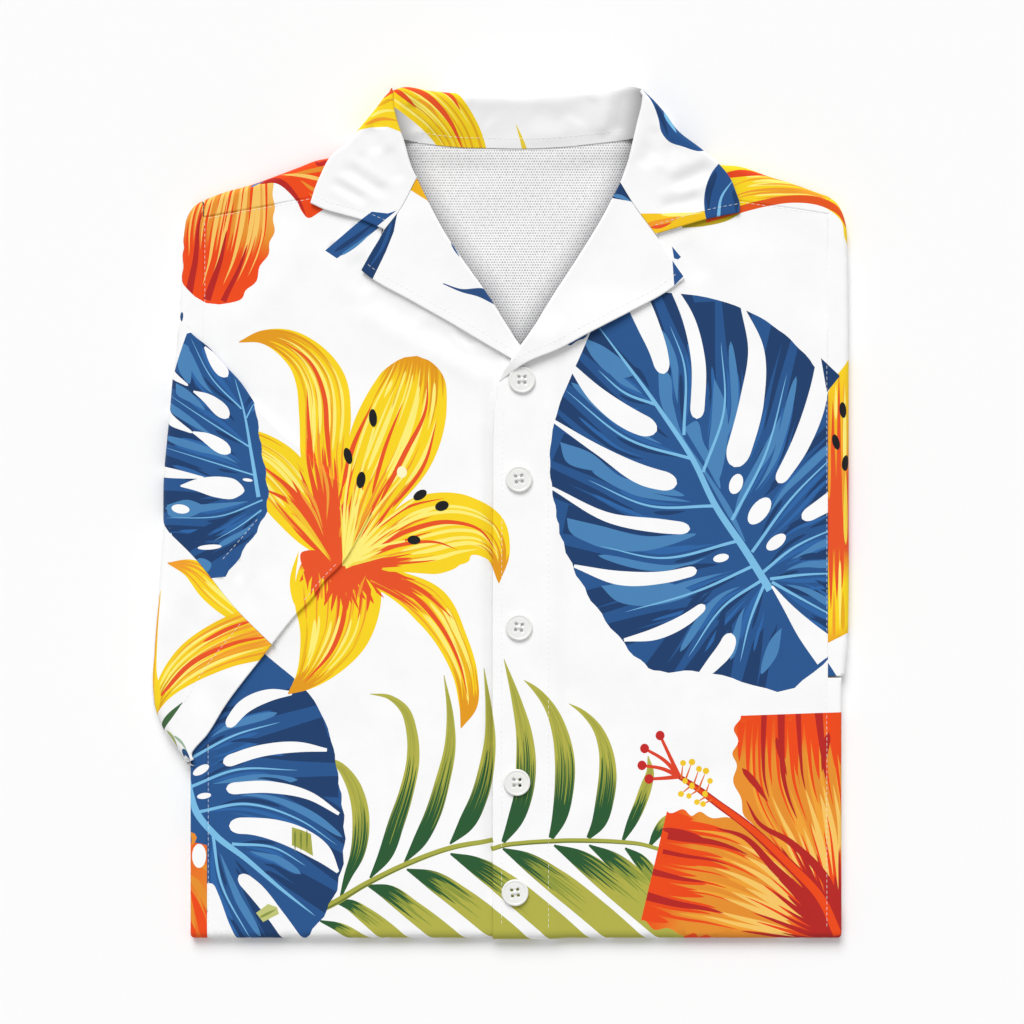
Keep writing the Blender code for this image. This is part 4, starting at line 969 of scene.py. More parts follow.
CHEST_BITS = [
    round_patch([(41.9, 109.4), (44.8, 113), (50.6, 115.8), (55.7, 116.5), (54.4, 112.6),
                 (48.6, 110.1), (43.5, 107.2)], BLUE),
    patch([(-112.6, 168), (-105, 162.9), (-86.4, 176), (-73.6, 186.2), (-69.8, 191.4),
           (-85.1, 191.4), (-96.6, 181.8)], BLUE),
    stroke([(-106.9, 167), (-95.4, 174.7), (-80, 186.2)], 3.0, NAVY),
    stroke([(-103, 164.5), (-93.4, 170.9), (-82.6, 179.8)], 2.0, SKY),
    patch([(109.4, 170.6), (115.2, 163.8), (113.3, 162.2), (110.7, 162.9)], BLUE),
]
FRONT_PRINT = SHOULDER_BLOOM + SHOULDER_PETAL + CHEST_BITS + FROND + LOW_LEAF
FRONT_PRINT += [
    patch([(-133.8, -201), (-127.4, -202.9), (-121.6, -205.4), (-120.3, -219.5), (-126.7, -215.7),
           (-133.8, -212.5)], "#A9AC4C"),
    *[stroke([(x, -202.6), (x, -217.0)], 1.4, "#7F8A3C") for x in (-131.8, -128, -124.2)],
    patch([(-156.8, -256), (-149.1, -250.2), (-143.4, -252.2), (-142.1, -256.6), (-152.3, -261.8)],
          "#C3C77A"),
    stroke([(-154.9, -259.2), (-143.4, -253.4)], 1.8, "#8E9A48"),
]
LEAF_TIP = patch([(204.8, 99.2), (217, 87.7), (208.6, 77.4)], NAVY)
FRONT_PRINT += [*LILY, *BIG_LEAF, LEAF_TIP, *HIBISCUS]
SHOULDER_PRINT = SHOULDER_BLOOM + SHOULDER_PETAL
CAP_PRINT = [*SHOULDER_BLOOM, spot(-205.1, 125.1, 1.5, 3.7, -12, "#234A7E")]
SIDE_BLOOM = petal(
    [(-215, -228.5, 19.2), (-199, -238.1, 28.8), (-192.6, -250.9, 33.3), (-188.8, -263.7, 32),
     (-186.9, -279.7, 25.6)],
    ((0, FLAME), (0.5, TANGERINE), (1, FLAME)),
    (Brush(FLAME, 8, 0.9, 0.3, 5.0, 0.9), Brush(TANGERINE, 6, 0.2, 0.8, 4.0, 0.9)), dice,
)
SIDE_BLOOM += [spot(-193.3, -219.5, 4.5, 7.7, 0, WHITE),
               stroke([(-199, -204.2), (-196.5, -208), (-198.4, -213.1)], 3.6, TANGERINE)]
SIDE_PRINT = LOW_LEAF + SIDE_BLOOM + HIBISCUS

strip_line, _ = measured(np.array([(215.7, 97.9), (215.7, -84.5)]))
strip_dyes = ramp(
    (0, YELLOW), (0.3, "#F2B020"), (0.42, SCARLET), (0.66, SCARLET), (0.78, YELLOW),
    (0.93, YELLOW), (1, "#E8951C"),
)
strip_body = [(206.7, 71), (209.9, 78.7), (215.7, 89), (222.7, 97.9), (234.9, 97.9), (234.9, -74.9),
              (220.8, -77.4), (206.7, -84.5)]
STRIP_LILY = [Print(np.array(strip_body), along(strip_line, strip_dyes))]
STRIP_LILY += strokes(
    (3.2, SCARLET, (212.48, -4.48), (212.48, 72.32)),
    (2.56, SCARLET, (216.32, 8.32), (216.32, 90.24)),
    (2.56, AMBER, (209.92, 8.32), (209.92, 75.52)), (2.56, AMBER, (219.52, -4.48), (219.52, 85.12)),
    (2.56, PALE_YELLOW, (220.16, 27.52), (220.16, 81.92)),
    (1.92, PALE_YELLOW, (214.4, 59.52), (214.4, 82.56)),
    (3.2, "#F8D84A", (220.8, -20.48), (220.8, 27.52)),
    (2.56, SCARLET, (211.2, -17.28), (211.2, -62.08)),
    (2.56, SCARLET, (215.04, -20.48), (215.04, -55.68)),
    (2.56, SCARLET, (218.24, -20.48), (218.24, -49.28)),
    (1.92, AMBER, (213.12, -81.28), (213.12, -49.28)),
    (1.92, PALE_YELLOW, (216.96, -30.08), (216.96, -74.88)),
    (2.56, "#E9AE1C", (218.88, -76.16), (218.88, -49.28)),
)
STRIP_LILY += [spot(218.9, 65.9, 2.3, 5.1, 5, INK), spot(214.4, 45.4, 2.3, 5.1, 15, INK),
               spot(220.8, 32.0, 2.6, 5.1, -8, INK)]
STRIP_PRINT = [*SHOULDER_PETAL, *STRIP_LILY, LEAF_TIP]
STRIP_PRINT += [patch([(204.2, -90.9), (209.9, -96.6), (215.7, -105.6), (208, -108.2)], BLUE)]

LAPEL_PRINT = [
    patch([(-65.9, 193.9), (-68.5, 179.8), (-73.6, 167), (-81.9, 149.8), (-83.8, 148.5),
           (-90.2, 154.2), (-86.4, 161.9), (-78.1, 174.7), (-71, 191.4)], NAVY),
    stroke([(-69.8, 186.2), (-74.9, 171.5), (-85.1, 155.5)], 2.4, BLUE),
    slip([(-37.1, 146.6, 0.3), (-25, 142.1, 1), (-13.4, 140.8, 2.9), (-3.2, 137.6, 4.5)],
         "#2B4F82"),
    patch([(-59.5, 207.4), (-51.8, 215.7), (-44.2, 197.8)], "#F0B41C"),
    patch([(68.5, 201.6), (76.2, 213.1), (83.8, 199)], NAVY),
    stroke([(71, 202.9), (76.2, 202.2), (83.2, 199)], 2.6, SKY),
    patch([(109.4, 163.2), (117.1, 151.7), (110.7, 145.3)], "#2B558F"),
    stroke([(-32, 173.4), (-29.4, 168.3), (-26.2, 163.2)], 1.6, BLUE),
]
COLLAR_BLOOM = petal(
    [(-90.2, 288.6, 12.8), (-59.5, 272, 15.4), (-39, 256.6, 16), (-26.9, 240, 14.7),
     (-21.1, 222.7, 14.1)],
    ((0, SCARLET), (0.2, YELLOW), (1, YELLOW)),
    (Brush(PALE_YELLOW, 7, 0.3, 0.8, 1.6, 0.85), Brush("#E9AE1C", 7, 0.95, 0.3, 1.6, 0.9)), dice,
)
COLLAR_BLOOM += strokes(
    (3.84, SCARLET, (-67.2, 274.6), (-48.6, 266.9), (-32.6, 250.2), (-23.7, 231)),
    (3.2, SCARLET, (-69.8, 272), (-62.1, 266.2), (-53.8, 258.6)),
    (2.56, SCARLET, (-40.3, 272), (-31.4, 265.6), (-25.6, 256.6)),
    (1.92, AMBER, (-53.1, 264.3), (-45.4, 259.2), (-39, 251.5)),
)
BAND_PRINT = COLLAR_BLOOM + [slip([(9.6, 248.3, 0.2), (12.8, 240, 1), (16, 229.8, 1.9)], "#F3D53A")]
LEAF_BLOOM = [
    patch([(-99.8, 240), (-91.5, 244.5), (-82.6, 246.1), (-72.3, 246.4), (-62.1, 242.6),
           (-59.5, 277.1), (-77.4, 278.4), (-96.6, 257.9)], YELLOW),
    stroke([(-87.7, 247.7), (-76.2, 251.5), (-64.6, 250.2)], 2.4, AMBER),
    stroke([(-83.8, 252.8), (-74.9, 256.6), (-65.9, 256.6)], 2.0, PALE_YELLOW),
    stroke([(-80, 259.2), (-72.3, 263), (-65.9, 264.3)], 2.4, "#E9AE1C"),
    stroke([(-77.4, 265.6), (-69.8, 269.4), (-63.4, 269.4)], 4.0, SCARLET),
]
LEAF_PRINT = LEAF_BLOOM + [
    patch([(-90.2, 186.9), (-82.6, 192.6), (-72.3, 191.4), (-66.6, 193.3), (-73, 188.2),
           (-79.4, 183), (-87.7, 185)], BLUE),
    round_patch([(89, 273.3), (96.6, 261.8), (100.5, 251.5), (102.4, 243.2), (106.9, 237.4),
                 (115.2, 234.2), (129.9, 231.7), (135, 238.7), (114.6, 257.9), (98.6, 274.6)],
                 "#27538C"),
    stroke([(104.3, 256.6), (108.8, 249), (112, 242.6)], 4.0, VEIN),
    stroke([(98.6, 261.1), (103, 251.5), (106.9, 240)], 3.0, NAVY),
    slip([(79.4, 186.2, 5.1), (98.6, 185, 6.4), (121, 188.2, 3.5), (135, 191.4, 2.6)], "#F8C81E"),
    stroke([(92.2, 183.7), (100.5, 185), (114.6, 189.4)], 4.5, "#F29A28"),
    stroke([(95.4, 182.4), (101.8, 183), (109.4, 185.6)], 2.4, SCARLET),
    stroke([(101.8, 190.7), (114.6, 190.7), (129.9, 192)], 2.4, PALE_YELLOW),
    round_patch([(141.4, 225.9), (134.4, 217), (130.6, 206.7), (129.9, 196.5), (132.5, 186.2),
                 (143.4, 186.2), (154.2, 190.1), (154.2, 201.6), (149.1, 214.4)], "#27538C"),
    stroke([(137.6, 218.2), (133.1, 206.7), (132.5, 192.6)], 4.5, NAVY),
    stroke([(148.5, 206.7), (150.4, 199), (150.4, 191.4)], 3.4, NAVY),
    stroke([(138.9, 188.2), (140.8, 201.6), (148.5, 213.1)], 2.2, VEIN, True),
]

SLEEVE_PRINT = [
    spot(-212.3, -8.0, 1.3, 1.9, 0, NAVY),
    *petal([(-213.1, -32, 0.3), (-199, -35.2, 5.8), (-183, -48, 10.2), (-163.8, -63.4, 9),
            (-141.4, -74.9, 6.4)],
           ((0, "#E8951C"), (0.2, YELLOW), (1, YELLOW)),
           (Brush(AMBER, 5, 0.04, 0.5, 1.8, 0.8), Brush(PALE_YELLOW, 4, 0.3, 0.8, 1.6, 0.7)), dice),
    *petal([(-222.1, -129.9, 0.3), (-215.7, -114.6, 5.8), (-199, -96.6, 12.2),
            (-176.6, -83.8, 15.4), (-153, -76.2, 17.3), (-122.2, -68.5, 16.6)],
           ((0, "#E8951C"), (0.12, YELLOW), (1, "#F5BE20")),
           (Brush(PALE_YELLOW, 6, 0.15, 0.7, 2.0, 0.8), Brush(AMBER, 8, 0.9, 0.3, 1.8, 0.85),
            Brush("#D9A31C", 4, 0.05, 0.3, 1.4, 0.6)), dice),
    stroke([(-218.9, -118.4), (-197.8, -96), (-172.2, -83.8), (-138.2, -77.4)], 3.2, SCARLET),
    stroke([(-190.7, -82.6), (-173.4, -73.6), (-153, -67.2)], 2.6, SCARLET),
    slip([(-218.2, -49.3, 0.3), (-220.8, -81.3, 0.8), (-222.1, -100.5, 1.9), (-220.2, -119.7, 2.6),
          (-221.4, -129.9, 0.6)], YELLOW),
    stroke([(-218.9, -50.6), (-222.1, -87.7), (-222.7, -128.6)], 1.8, "#EFA62A"),
    slip([(-218.9, -139.5, 1.7), (-211.8, -129.9, 1.9), (-203.5, -121, 0.2)], "#41683F"),
    stroke([(-214.4, -138.9), (-209.9, -144), (-207.4, -151.7)], 2.4, "#A9B776"),
    stroke([(-209.3, -142.1), (-204.2, -146.6), (-200.3, -153)], 1.8, "#9DB89C"),
    spot(-201.6, -155.5, 2.2, 5.1, 20, "#2B5482"), spot(-202.9, -160.6, 3.8, 1.9, 30, "#6F7A45"),
]
SLEEVE_UPPER_PRINT = LILY + SLEEVE_LEAF


def shifted(prints, dx, dy):
    """The same motifs elsewhere on the cloth."""
    off = np.array([dx, dy])
    return [
        Print(p.outline + off, lambda q, p=p: p.shade(q - off),
              None if p.within is None else p.within + off)
        for p in prints
    ]


BACK_PRINT = shifted(LILY, 140, -10) + shifted(BIG_LEAF, -190, 40) + shifted(HIBISCUS, -20, 250)


# --- The back -----------------------------------------------------------------------------
# One piece. Folded, it shows its wrong side in the neck, dull and pale with the weave's net of
# darker points, and its right side underneath, where it lies on the table.


def level(share):
    """0 to 1 with level ends."""
    share = np.clip(share, 0, 1)
    return share * share * (3 - 2 * share)


RIPPLES = np.random.default_rng(11).uniform(size=(16, 3))  # direction, length, start


def ripple(places, depth=0.12):
    """The slight unevenness of pressed cloth."""
    total = np.zeros(len(places))
    for way, length, start in RIPPLES:
        wave = 2 * math.pi / (28 + 70 * length)
        far = places[:, 0] * math.cos(way * math.pi) + places[:, 1] * math.sin(way * math.pi)
        total += np.sin(far * wave + start * 6.3) * (0.4 + length)
    return total * depth / 2.2


Crease = namedtuple("Crease", "x0 y0 x1 y1 width depth")


def creased(places, creases):
    """How far creases raise the cloth; where depth is more than nothing they press it."""
    total = np.zeros(len(places))
    for c in creases:
        start, end = np.array([[c.x0, c.y0], [c.x1, c.y1]], float)
        run = end - start
        share = (places - start) @ run / (run @ run)
        off = places - start - np.clip(share, 0, 1)[:, None] * run
        away = np.hypot(*off.T) / c.width
        ends = level(share / 0.3 + 0.35) * level((1 - share) / 0.3 + 0.35)
        shape = np.exp(-(away**2)) - 0.4 * np.exp(-((away - 1.9) ** 2) / 0.7)
        total -= c.depth * shape * ends
    return total


def netted(name, ground, dots):
    """The wrong side at the neck: pale cloth with a fine regular net of darker dots."""
    material = blank(name)
    place = add(material, "UVMap", uv_map="cloth").outputs[0]
    pitch = 1.7 * MM  # dot to dot, coarser than the real net so that it can show
    scaled = add(material, "VectorMath", [(0, place)], operation="SCALE", Scale=1 / pitch)
    axes = add(material, "SeparateXYZ", [(0, scaled.outputs[0])])
    row = add(material, "Math", [(0, axes.outputs[1])], operation="FLOOR")
    odd = add(material, "Math", [(0, row.outputs[0])], operation="MODULO", in_1=2.0)
    staggered = add(
        material, "Math", [(0, odd.outputs[0]), (2, axes.outputs[0])],
        operation="MULTIPLY_ADD", in_1=0.5,
    )
    waves = []
    for source in (staggered.outputs[0], axes.outputs[1]):
        part = add(material, "Math", [(0, source)], operation="FRACT")
        centred = add(material, "Math", [(0, part.outputs[0])], operation="SUBTRACT", in_1=0.5)
        waves.append(add(material, "Math", [(0, centred.outputs[0])], operation="POWER", in_1=2.0))
    reach = add(
        material, "Math", [(0, waves[0].outputs[0]), (1, waves[1].outputs[0])], operation="ADD"
    )
    dot = add(
        material, "MapRange", [(0, reach.outputs[0])], in_1=0.05, in_2=0.16, in_3=1.0, in_4=0.0
    )
    uneven = add(material, "TexNoise", [("Vector", place)], Scale=420.0, Detail=2.0)
    strength = add(
        material, "Math", [(0, dot.outputs[0]), (1, uneven.outputs[0])], operation="MULTIPLY"
    )
    colour = add(
        material, "Mix", [(0, strength.outputs[0])],
        data_type="RGBA", in_6=(*linear(ground), 1.0), in_7=(*linear(dots), 1.0),
    )
    # Multiplied by the mesh's colours, which hold the painted shade beside the lapels' rolls.
    net_with_painted_shade = add(
        material, "Mix",
        [(6, colour.outputs[2]), (7, add(material, "VertexColor", layer_name="print_and_painted_shade").outputs[0])],
        data_type="RGBA", blend_type="MULTIPLY", Factor=1.0,
    )
    bump = add(
        material, "Bump", [("Height", strength.outputs[0])], Strength=0.4, Distance=-0.0003
    )
    cloth = add(
        material, "BsdfPrincipled",
        [("Base Color", net_with_painted_shade.outputs[2]), ("Normal", bump.outputs[0])], Roughness=0.9,
    )
    add(material, "OutputMaterial", [("Surface", cloth.outputs[0])])
    return material


printed = woven("printed_plain_weave")
wrong_side = woven("plain_weave_wrong_side", "#DEDFE0")
net = netted("netted_wrong_side", "#FCFCFC", "#525255")
looks = (printed, wrong_side)

MIDDLE_X = 11  # the line between the shirt's left and right
BACK_NECK = [
    edge([(-64, 241.5), (-60, 226), (-51.5, 207), (-40.6, 186), (-28.6, 167), (-13.6, 145),
          (0.6, 124), (12.4, 108.4)]),
    edge([(12.4, 108.4), (25, 124), (38.4, 145), (53, 167), (64.6, 186), (75.5, 207), (82.6, 226),
          (86.6, 241.5)]),
    edge([(86.6, 241.5), (60, 238), (37, 235.6), (11, 234.6), (-15, 235), (-40, 237.4),
          (-64, 241.5)]),
]


def back_neck_height(places):
    x, y = places.T
    seam = 233.3 + 5.8 * ((x - MIDDLE_X) / 74) ** 2
    middle = 1 - np.abs(x - MIDDLE_X) / 80
    near_seam = level((y - seam + 16) / 14)
    swell = (0.7 + ripple(places, 0.3)) * level(middle * 2.2) * level((y - 112) / 30)
    return 5.0 + 2.35 * near_seam + swell * (1 - near_seam)


def painted_shade_under_rolls(places):
    """Painted shade: greyer toward the lapels' rolls, which stand up over the neck."""
    away = np.min([-nearest(BACK_NECK[k], places)[1] for k in (0, 1)], axis=0)
    return ramp((0, "#BEBEC0"), (0.5, "#E4E4E5"), (1, WHITE))(np.clip(away / 14, 0, 1))


# The neck's colours hold only this painted shade, which the net's material multiplies in.
neck_painted_shade = Print(np.array([(-90, 90), (110, 90), (110, 260), (-90, 260)], float), painted_shade_under_rolls)
neck, _ = panel(
    "back_at_the_neck", BACK_NECK, back_neck_height, (net, wrong_side), (neck_painted_shade,), step=3.5
)
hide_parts("back_neck")

# Under the fronts the folded plies lie pressed on each other, their edges rolled and uneven.
UNDERSIDE = [
    (207, -104), (208, 168), (206, 182), (195, 190), (170, 199), (136, 208), (108, 216), (96, 221),
    (88, 241), (76, 251), (12, 249), (-58, 251), (-74, 240), (-86, 217), (-108, 207), (-140, 200),
    (-175, 190), (-190, 176), (-195, 150), (-195, 20), (-186, -104), (207, -104),
]
Ply = namedtuple("Ply", "name low inset")
PLIES = [
    Ply("back_lowest_ply", 0.05, 0.0), Ply("folded_ply_1", 1.9, 1.4), Ply("folded_ply_2", 3.2, 0.3),
]
LEAST_MOTIF = 150  # smaller marks are left off the underside, square mm


def flat_down(placed):
    """Turns a sheet over, so that its right side lies on the table."""
    return placed * [1, 1, -1] + [0, 0, PLIES[0].low]


for ply in PLIES:
    ring = np.array(UNDERSIDE, float)
    ring = moved(ring, -ply.inset)[: len(ring)] if ply.inset else ring
    lowest = ply is PLIES[0]
    top = 0.0 if lowest else ply.low + 1.2
    sheet, _ = panel(
        ply.name, [edge(ring, 0.55, 180, 6.0, 8.0)], lambda q: np.full(len(q), top), looks,
        [p for p in BACK_PRINT if size_of(p.outline) > LEAST_MOTIF] if lowest else (),
        step=6.0 if lowest else 14.0,
        bend=flat_down if lowest else None, face_down=lowest,
    )
    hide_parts("hidden_layers")

# --- The fronts ---------------------------------------------------------------------------
# Two pieces of the printed cloth, cut left and right. The wearer's left one laps over the
# other and is buttoned to it. Both turn round the fold at the bottom and back underneath.

FOLD_Y = -268.2  # where the cloth starts to turn down at the bottom
TAIL_HEM_Y = -107.0  # where the tail's hem ends underneath
LAP = 1.5  # how far the upper front lies over the lower one
ABOVE_TABLE = 0.55  # the lowest that a piece beside the stack hangs
SEAM_RIGHT_X, SEAM_LEFT_X = -188.2, 209.3  # the side seams
PLACKET_X, FACING_X = -5.4, 30.7  # the upper front's edge, and the lower front's


def rise(places):
    """How far a front stands up between its seams."""
    x, y = places.T
    sides = level((x - SEAM_RIGHT_X) / 40) * level((SEAM_LEFT_X - x) / 40)
    ends = level((y - FOLD_Y) / 40) * level((222 - 0.16 * np.abs(x - MIDDLE_X) - y) / 40)
    return 0.8 * sides * ends


def over_facing(x):
    """1 where the lower front lies underneath, 0 beyond its facing."""
    return level((FACING_X + 13 - x) / 12)


def lap(places):
    """How far the upper front climbs over the lower one."""
    x, y = places.T
    return LAP * over_facing(x) * level((129.9 - y) / 20)


def round_the_hem(placed):
    """Bends what lies past the bottom fold round it and back along the underside."""
    x, y, z = placed.T
    centre = FOLD_RADIUS + LAP / 2 * over_facing(x) * level((x + 19.4) / 12)
    past = FOLD_Y - y
    angle = np.clip(past / FOLD_RADIUS, 0, math.pi)
    rest = np.maximum(past - math.pi * FOLD_RADIUS, 0)
    radius = z - centre
    bent_y = np.where(past > 0, FOLD_Y - radius * np.sin(angle) + rest, y)
    bent_z = np.where(past > 0, centre + radius * np.cos(angle), z)
    return np.column_stack([x, bent_y, bent_z])


def quiet_ends(places):
    """Where a front may ripple: not at the fold, so that the underside stays flat."""
    return level((places[:, 1] - FOLD_Y - 6) / 40)


FRONT_CREASES = [
    Crease(-93, 164, -83.8, 141.4, 7, 1),
    Crease(-83.8, 141.4, -52.5, 122.2, 8, 1.3),
    Crease(-52.5, 122.2, -2.2, 94.7, 7, 1.4),
    Crease(-28.5, 117, -17, 108, 2.6, 1.3),
    Crease(-122, 196, -108, 166, 9, 0.5),
    Crease(-104, 200, -96, 172, 6, 0.5),
    Crease(176, 190, 212, 118, 16, 0.8),
    Crease(118, 172, 128, 150, 7, 0.6),
    Crease(60, 100, 100, 40, 20, 0.4),
    Crease(-150, 170, -184, 136, 12, 0.6),
    Crease(-60, -60, -120, -190, 24, 0.5),
    Crease(-104, -30, -70, -64, 14, 0.5),
    Crease(60, -130, 140, -180, 22, 0.45),
    Crease(22, -90, 58, -128, 15, 0.4),
    Crease(180, -40, 204, -150, 16, 0.45),
]
BESIDE_PLACKET = Crease(-4, 98, -4, -262, 5, 2.3)  # it dips beside the stacked placket


def lower_front_height(places):
    base = STACK + rise(places)
    creases = [*FRONT_CREASES, BESIDE_PLACKET]
    return base + (creased(places, creases) + ripple(places)) * quiet_ends(places)


def upper_front_height(places):
    base = STACK + rise(places) + lap(places)
    return base + (creased(places, FRONT_CREASES) + ripple(places)) * quiet_ends(places)


tail = FOLD_Y - math.pi * FOLD_RADIUS - (TAIL_HEM_Y - FOLD_Y)  # flat y of the tail's hem
ROLL_LOWER = [(-54.2, 213.6), (-45.8, 197.1), (-35, 177.3), (-21.5, 157.4), (-8.7, 139.5),
              (2.2, 122.2), (11.6, 107.6)]
ROLL_UPPER = [(76.6, 210.6), (63.8, 186.5), (48.4, 161.5), (31.8, 135.9), (20.9, 118),
              (12.8, 106.5)]
FRONT_EDGE = [(12.8, 106.5), (6.4, 97.9), (0.6, 89), (-1.9, 83.8), (-2.6, 75.5), (-3.8, 69.1),
              (-4.6, 55), (-5.1, 8.3), (PLACKET_X, -55.7), (PLACKET_X, FOLD_Y), (PLACKET_X, tail)]
# Radius, turn and reach of a seamed edge that lies on its neighbour, of one that goes under
# it, and of a pressed fold round the whole body.
SEAM = (0.3, 75, 0.4)
TUCK = (1.5, 30, 3)
BODY_FOLD = (FOLD_RADIUS - 0.3, 180, math.pi * FOLD_RADIUS + 3)
LOWER_FRONT = [
    edge([(SEAM_RIGHT_X, tail), (FACING_X, tail)]),
    edge([(FACING_X, tail), (FACING_X, FOLD_Y), (FACING_X, 80)]),
    edge([(FACING_X, 80), (22, 96), (11.6, 107.6)]),
    edge(ROLL_LOWER[::-1]),
    edge([(-54.2, 213.6), (-90, 208.4), (-109.4, 204.5)]),
    edge([(-109.4, 204.5), (-129.9, 200.4), (-145.3, 197.2), (-163.2, 194), (-175.7, 191.6),
          (-190.3, 189)], *SEAM),
    edge([(-190.3, 189), (-190.6, 100), (-190.3, -20), (-188.6, -100), (SEAM_RIGHT_X, FOLD_Y),
          (SEAM_RIGHT_X, tail)], *SEAM),
]
UPPER_FRONT = [
    edge([(PLACKET_X, tail), (SEAM_LEFT_X, tail)]),
    edge([(SEAM_LEFT_X, tail), (SEAM_LEFT_X, FOLD_Y), (SEAM_LEFT_X, 0), (SEAM_LEFT_X, 191.1)],
         *SEAM),
    edge([(SEAM_LEFT_X, 191.1), (200.3, 192.7), (183.4, 195.2), (170, 197.2), (156, 199.4),
          (140, 201.6), (127, 203.6)], *SEAM),
    edge([(127, 203.6), (100, 207.5), (76.6, 210.6)]),
    edge(ROLL_UPPER),
    edge(FRONT_EDGE, 0.7, 180, 4.4),
]

lower_front, on_lower_front = panel(
    "front_right_cloth", LOWER_FRONT, lower_front_height, looks, FRONT_PRINT, step=3.4,
    bend=round_the_hem,
)
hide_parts("front_right")
upper_front, on_upper_front = panel(
    "front_left_cloth", UPPER_FRONT, upper_front_height, looks, FRONT_PRINT, step=3.4,
    bend=round_the_hem,
)
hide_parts("front_left")

# --- The shoulders and sides of the back ---------------------------------------------------
# The back comes forward over each shoulder to its seam, and round each side to the side seam.

SHOULDER_LEFT = [
    edge([(210.2, 191.6), (210.2, 203.1)]),
    edge([(210.2, 203), (200.3, 206.4), (188.8, 210.6), (172.2, 215.7), (153, 222.2), (140, 223.4),
          (120, 228), (100, 233)], *BODY_FOLD),
    edge([(100, 228), (100, 208.2)]),
    edge([(100, 208.2), (120, 205.2), (140, 202.2), (153, 200.3), (172.2, 197.4), (188.8, 195),
          (200.3, 193.2), (210.2, 191.6)], *TUCK),
]
SHOULDER_RIGHT = [
    edge([(-86, 208.8), (-86, 231)]),
    edge([(-86, 236), (-109.4, 227.8), (-118.8, 225.9), (-128.6, 222.1), (-143.8, 216.3),
          (-159.8, 210.6), (-179.9, 204.8), (-190.1, 200.8)], *BODY_FOLD),
    edge([(-190.1, 200.6), (-190.1, 189.9)]),
    edge([(-190.1, 189.9), (-175, 192.8), (-159.8, 195.4), (-143.8, 198.4), (-128.6, 201.1),
          (-109.4, 204.6), (-86, 208.8)], *TUCK),
]


def shoulder_height(places):
    return STACK + ripple(places, 0.05)


for name, cut in (("back_shoulder_left", SHOULDER_LEFT), ("back_shoulder_right", SHOULDER_RIGHT)):
    strip, _ = panel(name + "_cloth", cut, shoulder_height, looks, SHOULDER_PRINT, step=2.0)
    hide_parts(name)

SIDE_RADIUS = FOLD_RADIUS / 2


def side_cut(seam, nose, top):
    """A strip from the side seam round the pressed fold beside the fronts."""
    first, last = (tail, top) if nose > seam else (top, tail)
    flat_x = nose - math.copysign(SIDE_RADIUS, nose - seam)
    return [
        edge([(nose, first), (nose, FOLD_Y), (nose, last)], SIDE_RADIUS, 180, 3.3 * SIDE_RADIUS),
        edge([(flat_x, last), (seam, last)]),
        edge([(seam, last), (seam, FOLD_Y), (seam, first)], *TUCK),
        edge([(seam, first), (flat_x, first)]),
    ]


for name, cut in (
    ("back_side_left", side_cut(209.4, 218.2, -105.5)),
    ("back_side_right", side_cut(-188.3, -199.0, -128.0)),
):
    strip, _ = panel(
        name + "_cloth", cut, lambda q: np.full(len(q), STACK), looks, SIDE_PRINT,
        step=2.0, bend=round_the_hem,
    )
    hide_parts(name)

# --- The facings --------------------------------------------------------------------------
# Each front's facing, turned out along the roll line as a lapel: two plies and interfacing,
# bagged out, so the edges are round.

COLLAR_CLOTH = 1.6  # two plies and interfacing
LAPEL_EDGE = 0.75
BAGGED = (LAPEL_EDGE, 180, 4.6)  # radius, turn and reach of a bagged-out edge
LAPEL_ROLL = 11  # how far the cloth stands up beside the roll
LAPEL_LOWER = [(-53.8, 214.4), (-49.6, 205.6), (-45.4, 197.1), (-34.6, 177.3), (-21.1, 157.4),
               (-8.3, 139.5), (2.6, 122.2), (11.8, 107.8)]
LAPEL_UPPER = [(76.2, 211.2), (63.4, 186.9), (48, 161.9), (31.4, 136.3), (20.5, 118.4),
               (12.4, 106.9), (6.4, 97.9, 1.2, 1.9, 4), (0.6, 89, 0.6, 2.4, 2.4),
               (-1, 84.2, 0.25, 3, 1.2)]
FACING_LOWER = [
    edge([(-53.8, 214.4), (-65.6, 192.6), (-74.2, 181.4)], *TUCK),
    edge([(-74.2, 181.4), (-82, 168.5), (-89.4, 155.2)], *BAGGED),
    edge([(-89.4, 155.2), (-82.6, 149.8), (-60, 137), (-29.4, 119.7), (-13.4, 110.1), (4.6, 99.6),
          (10.4, 96.2)], *BAGGED),
    edge([(10.4, 96.2), (16.4, 101.4)]),
    edge([(16.4, 101.4), *LAPEL_LOWER[::-1]], 1.5, 100, 4.6),
]
FACING_UPPER = [
    edge(LAPEL_UPPER, 1.5, 100, 4.8),
    edge([(-1, 84.2, 0.25, math.pi, 1.2), (6.8, 89.9, 0.5, math.pi, 3.4), (14.1, 94.7), (37.8, 105),
          (53.1, 113.3), (82.6, 128.6), (105, 140.8), (117.6, 150)],
         *BAGGED),
    edge([(117.6, 150), (110.1, 160.6), (98.6, 178.2)], *BAGGED),
    edge([(98.6, 178.2), (89.6, 190.5), (83.2, 199.7), (76.2, 211.2)], *TUCK),
]


def lapel_lower_height(places):
    _, aside, _ = nearest(edge(LAPEL_LOWER), places)
    base = STACK + rise(places) + 0.3 + COLLAR_CLOTH
    return base + 1.3 * np.exp(-np.abs(aside) / LAPEL_ROLL) + 0.5 + ripple(places, 0.10)


def lapel_upper_height(places):
    x, y = places.T
    _, aside, _ = nearest(edge(LAPEL_UPPER), places)
    turned = 0.8 + COLLAR_CLOTH + 1.2 * np.exp(-np.abs(aside) / LAPEL_ROLL)
    standing = 2.4 * level((150 - y) / 40) * level((x - 2) / 12)
    tip = 0.12 + 0.88 * level((y - 84) / 14)
    base = STACK + rise(places) + lap(places) + ripple(places, 0.10)
    return base + turned * tip + standing


